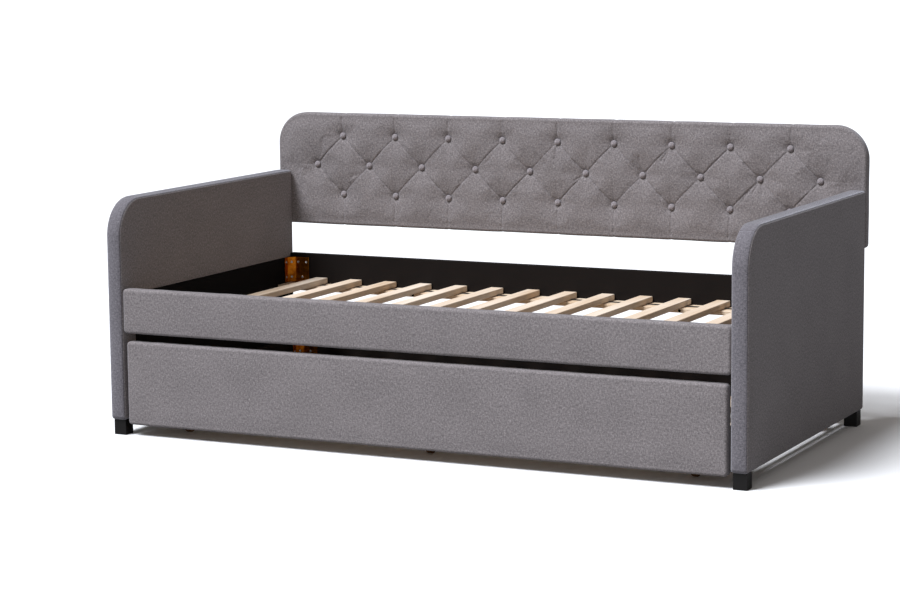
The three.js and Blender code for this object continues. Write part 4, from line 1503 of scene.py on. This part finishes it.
# %% Screws
SCREW_RADIUS = 4.6 * MM
SCREW_HEIGHT = 2.4 * MM
PLATE = 2.5 * MM
ARM_LEAF = 18 * MM
WEB = 22 * MM
RAIL_LEAF = 51 * MM
SCREW_RISE = 0.3              # of the bracket's height, above and below its middle
SCREW_UNDERSIDE = 0.3 * MM    # of the head, below the plate's face
SCREW_STEPS = 16


def screw_profile(radius, height):
    """Driver hollow, dome and underside, as (height, radius) from the middle outwards."""
    angle = np.linspace(0.35, np.pi / 2, 6)
    dome = np.stack([height * np.cos(angle), radius * np.sin(angle)], -1)
    hollow = [(height * 0.35, 0), (height * 0.35, radius * 0.2)]
    return np.concatenate([hollow, dome, [(-SCREW_UNDERSIDE, radius), (-SCREW_UNDERSIDE, 0)]])


def bracket_screws(node, end, side):
    """Places and directions of a bracket's screws. The corner is where the arm meets the rail;
    u runs from it along the rail, and v along the arm."""
    low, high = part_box(node)
    corner = np.array([low.x if side < 0 else high.x, low.y if end == "front" else high.y])
    u = np.array([-side, 0.0])
    v = np.array([0.0, 1.0 if end == "front" else -1.0])
    middle = (low.z + high.z) / 2
    rise = (high.z - low.z) * SCREW_RISE
    diagonal = (u + v) / math.sqrt(2)
    spots = []
    for z in (middle - rise, middle + rise):
        spots.append((corner + u * PLATE + v * (WEB + ARM_LEAF * 0.5), z, u))
        spots.append((corner + (u + v) * WEB / 2 + diagonal * PLATE, z, diagonal))
    for share, z in ((0.2, middle + rise), (0.8, middle + rise), (0.5, middle - rise)):
        spots.append((corner + u * (WEB + RAIL_LEAF * share) + v * PLATE, z, v))
    return [((*at, z), (*way, 0.0)) for at, z, way in spots]


for prefix, body in (("", "daybed"), ("trundle_", "trundle")):
    for end in ("front", "back"):
        for side, name in ((-1, "left"), (1, "right")):
            node = f"{prefix}bracket_{end}_{name}"
            patches = [turned(screw_profile(SCREW_RADIUS, SCREW_HEIGHT), at, way, SCREW_STEPS)
                       for at, way in bracket_screws(node, end, side)]
            hand_over(build_piece(f"{node}_screws", patches, bright_zinc), body, "caster_steel")

# %% [markdown]
# ## Bolts and ledger screws
#
# Two bolts with wide washers hold the backrest to the back edge of each arm. They are turned
# too. The rear ledger is screwed to its rail, and the screws' flat heads lie almost flush. They
# are drawn black, as painted shade of the screw holes, so they read as small dark holes.

# %% Bolts
BOLT_RADIUS = 6 * MM
WASHER_RADIUS = 11 * MM
BOLT_RISE = 50 * MM            # from the foot of the backrest, and below the top of the arm

bolt_profile = [
    (4.2 * MM, 0), (4.2 * MM, BOLT_RADIUS * 0.6), (3.6 * MM, BOLT_RADIUS * 0.95),
    (1.4 * MM, BOLT_RADIUS), (1.3 * MM, WASHER_RADIUS - 0.4 * MM), (0.8 * MM, WASHER_RADIUS),
    (-0.4 * MM, WASHER_RADIUS), (-0.4 * MM, 0),
]
bolt_y = back_high.y + DUST_COVER_STAND + DUST_COVER_THICKNESS
bolts = [
    turned(bolt_profile, (side * arm_middle, bolt_y, z), (0, 1, 0), 24)
    for side in (-1, 1)
    for z in (back_low.z + BOLT_RISE, arm_high.z - BOLT_RISE)
]
hand_over(build_piece("backrest_bolts", bolts, bright_zinc), "daybed", "caster_steel")

# %% Ledger screws
LEDGER_SCREWS = (-0.94, -0.472, 0.472, 0.94)     # along the bed
LEDGER_SCREW_RADIUS = 5 * MM
LEDGER_SCREW_HEIGHT = 0.8 * MM

ledger_low, ledger_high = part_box("rear_ledger")
ledger_screws = [
    turned(screw_profile(LEDGER_SCREW_RADIUS, LEDGER_SCREW_HEIGHT),
           (x, ledger_low.y, (ledger_low.z + ledger_high.z) / 2), (0, -1, 0), SCREW_STEPS)
    for x in LEDGER_SCREWS
]
hand_over(build_piece("ledger_screws", ledger_screws, black_steel), "daybed", "caster_steel")

# %% [markdown]
# ## Slat tapes
#
# The slats come as two rolls of seven, stapled to black tapes that lie on the ledgers. Between
# slats the tape is slack by a hair. A tape is a flat oval section carried along X, closed at
# both ends. The trundle's roll has its tapes further in, beside the bearers.

# %% Slat tapes
TAPE_WIDTH = 20 * MM
TAPE_THICKNESS = 1.2 * MM
TAPE_SLACK = 0.1 * MM
TAPE_WAVE = 40 * MM
TAPE_RINGS = 121
TAPE_SHIFT = 3 * MM           # from the ledger's middle, towards the rail
TRUNDLE_TAPE_SHIFT = 92 * MM  # from the bearer's middle, inwards
TRUNDLE_TAPE_END = 5 * MM
TRUNDLE_TAPE_RISE = 0.4 * MM  # into the slats, as it is stapled to them


def tape_patch(x_range, y, z):
    """A flat oval section along X: (w/2 cos a, h/2 sign(sin a) |sin a|^0.4), with the tape's
    middle waving by its slack, and the first and last rings shrunk to a point."""
    x = np.linspace(*x_range, TAPE_RINGS)
    x = np.concatenate([[x[0]], x, [x[-1]]])[:, None]
    angle = np.linspace(0, 2 * np.pi, 17)[None, :]
    size = np.ones(x.shape)
    size[[0, -1]] = 0
    across = size * TAPE_WIDTH / 2 * np.cos(angle)
    up = size * TAPE_THICKNESS / 2 * np.sign(np.sin(angle)) * np.abs(np.sin(angle)) ** 0.4
    wave = TAPE_SLACK * np.sin(x * 2 * np.pi / TAPE_WAVE)
    points = np.stack(np.broadcast_arrays(x, y + across, z + wave + up), -1)
    cloth = np.stack(np.broadcast_arrays(x, angle * TAPE_WIDTH / (2 * np.pi)), -1)
    return points, cloth


front_ledger_low, front_ledger_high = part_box("front_ledger")
slat_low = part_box("slat_01")[0]
tape_z = (ledger_high.z + slat_low.z) / 2
tape_ys = ((front_ledger_low.y + front_ledger_high.y) / 2 - TAPE_SHIFT,
           (ledger_low.y + ledger_high.y) / 2 + TAPE_SHIFT)
for roll_name, first, last in (("left", "slat_01", "slat_07"), ("right", "slat_08", "slat_14")):
    x_range = (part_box(first)[0].x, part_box(last)[1].x)
    for row, y in zip(("front", "rear"), tape_ys):
        tape = build_piece(f"slat_tape_{roll_name}_{row}",
                           [tape_patch(x_range, y, tape_z)], tape_cloth)
        hand_over(tape, "daybed", "black_lining")

roll_low, roll_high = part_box("trundle_slat_roll")
for row, bearer, shift in (("front", "trundle_front_bearer", TRUNDLE_TAPE_SHIFT),
                           ("rear", "trundle_rear_bearer", -TRUNDLE_TAPE_SHIFT)):
    low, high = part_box(bearer)
    y = (low.y + high.y) / 2 + shift
    tape = build_piece(f"trundle_tape_{row}",
                       [tape_patch((roll_low.x + TRUNDLE_TAPE_END, roll_high.x - TRUNDLE_TAPE_END),
                                   y, roll_low.z + TRUNDLE_TAPE_RISE)], tape_cloth)
    hand_over(tape, "trundle", "black_lining")

# %% [markdown]
# ## Wheels
#
# Each caster wheel is one nylon moulding: a tread with a shallow groove round it, a rim, a web
# that is thinner than the rim, and a hub round the axle. Its section is a closed loop, turned
# about the axle, which runs along X.

# %% Wheels
AXLE_ROOM = 4.3 * MM           # radius of the hub's hole
WHEEL_STEPS = 40


def wheel_profile(radius, half):
    """Closed section as (along the axle, radius): hub, web, rim and tread."""
    right = [
        (0, AXLE_ROOM), (half, AXLE_ROOM), (half, AXLE_ROOM + 3.2 * MM),
        (half - 3 * MM, AXLE_ROOM + 3.8 * MM), (half - 3 * MM, radius - 5 * MM),
        (half - 0.4 * MM, radius - 4.4 * MM), (half, radius - 3.6 * MM),
        (half, radius - 2.2 * MM), (half - 0.8 * MM, radius - 0.7 * MM),
        (half - 2.4 * MM, radius), (1.6 * MM, radius), (1 * MM, radius - 1 * MM),
    ]
    left = [(-along, r) for along, r in reversed(right)]
    return np.array(right + left)


for row in ("front", "rear"):
    for name in ("left", "centre", "right"):
        node = f"wheel_{row}_{name}"
        low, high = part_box(node)
        centre = (low + high) / 2
        radius = (high.z - low.z) / 2
        half = (high.x - low.x) / 2
        wheel = build_piece(f"caster_{node}",
                            [turned(wheel_profile(radius, half), centre, (1, 0, 0),
                                    WHEEL_STEPS)],
                            wheel_nylon)
        hand_over(wheel, node, "wheel_plastic", node)
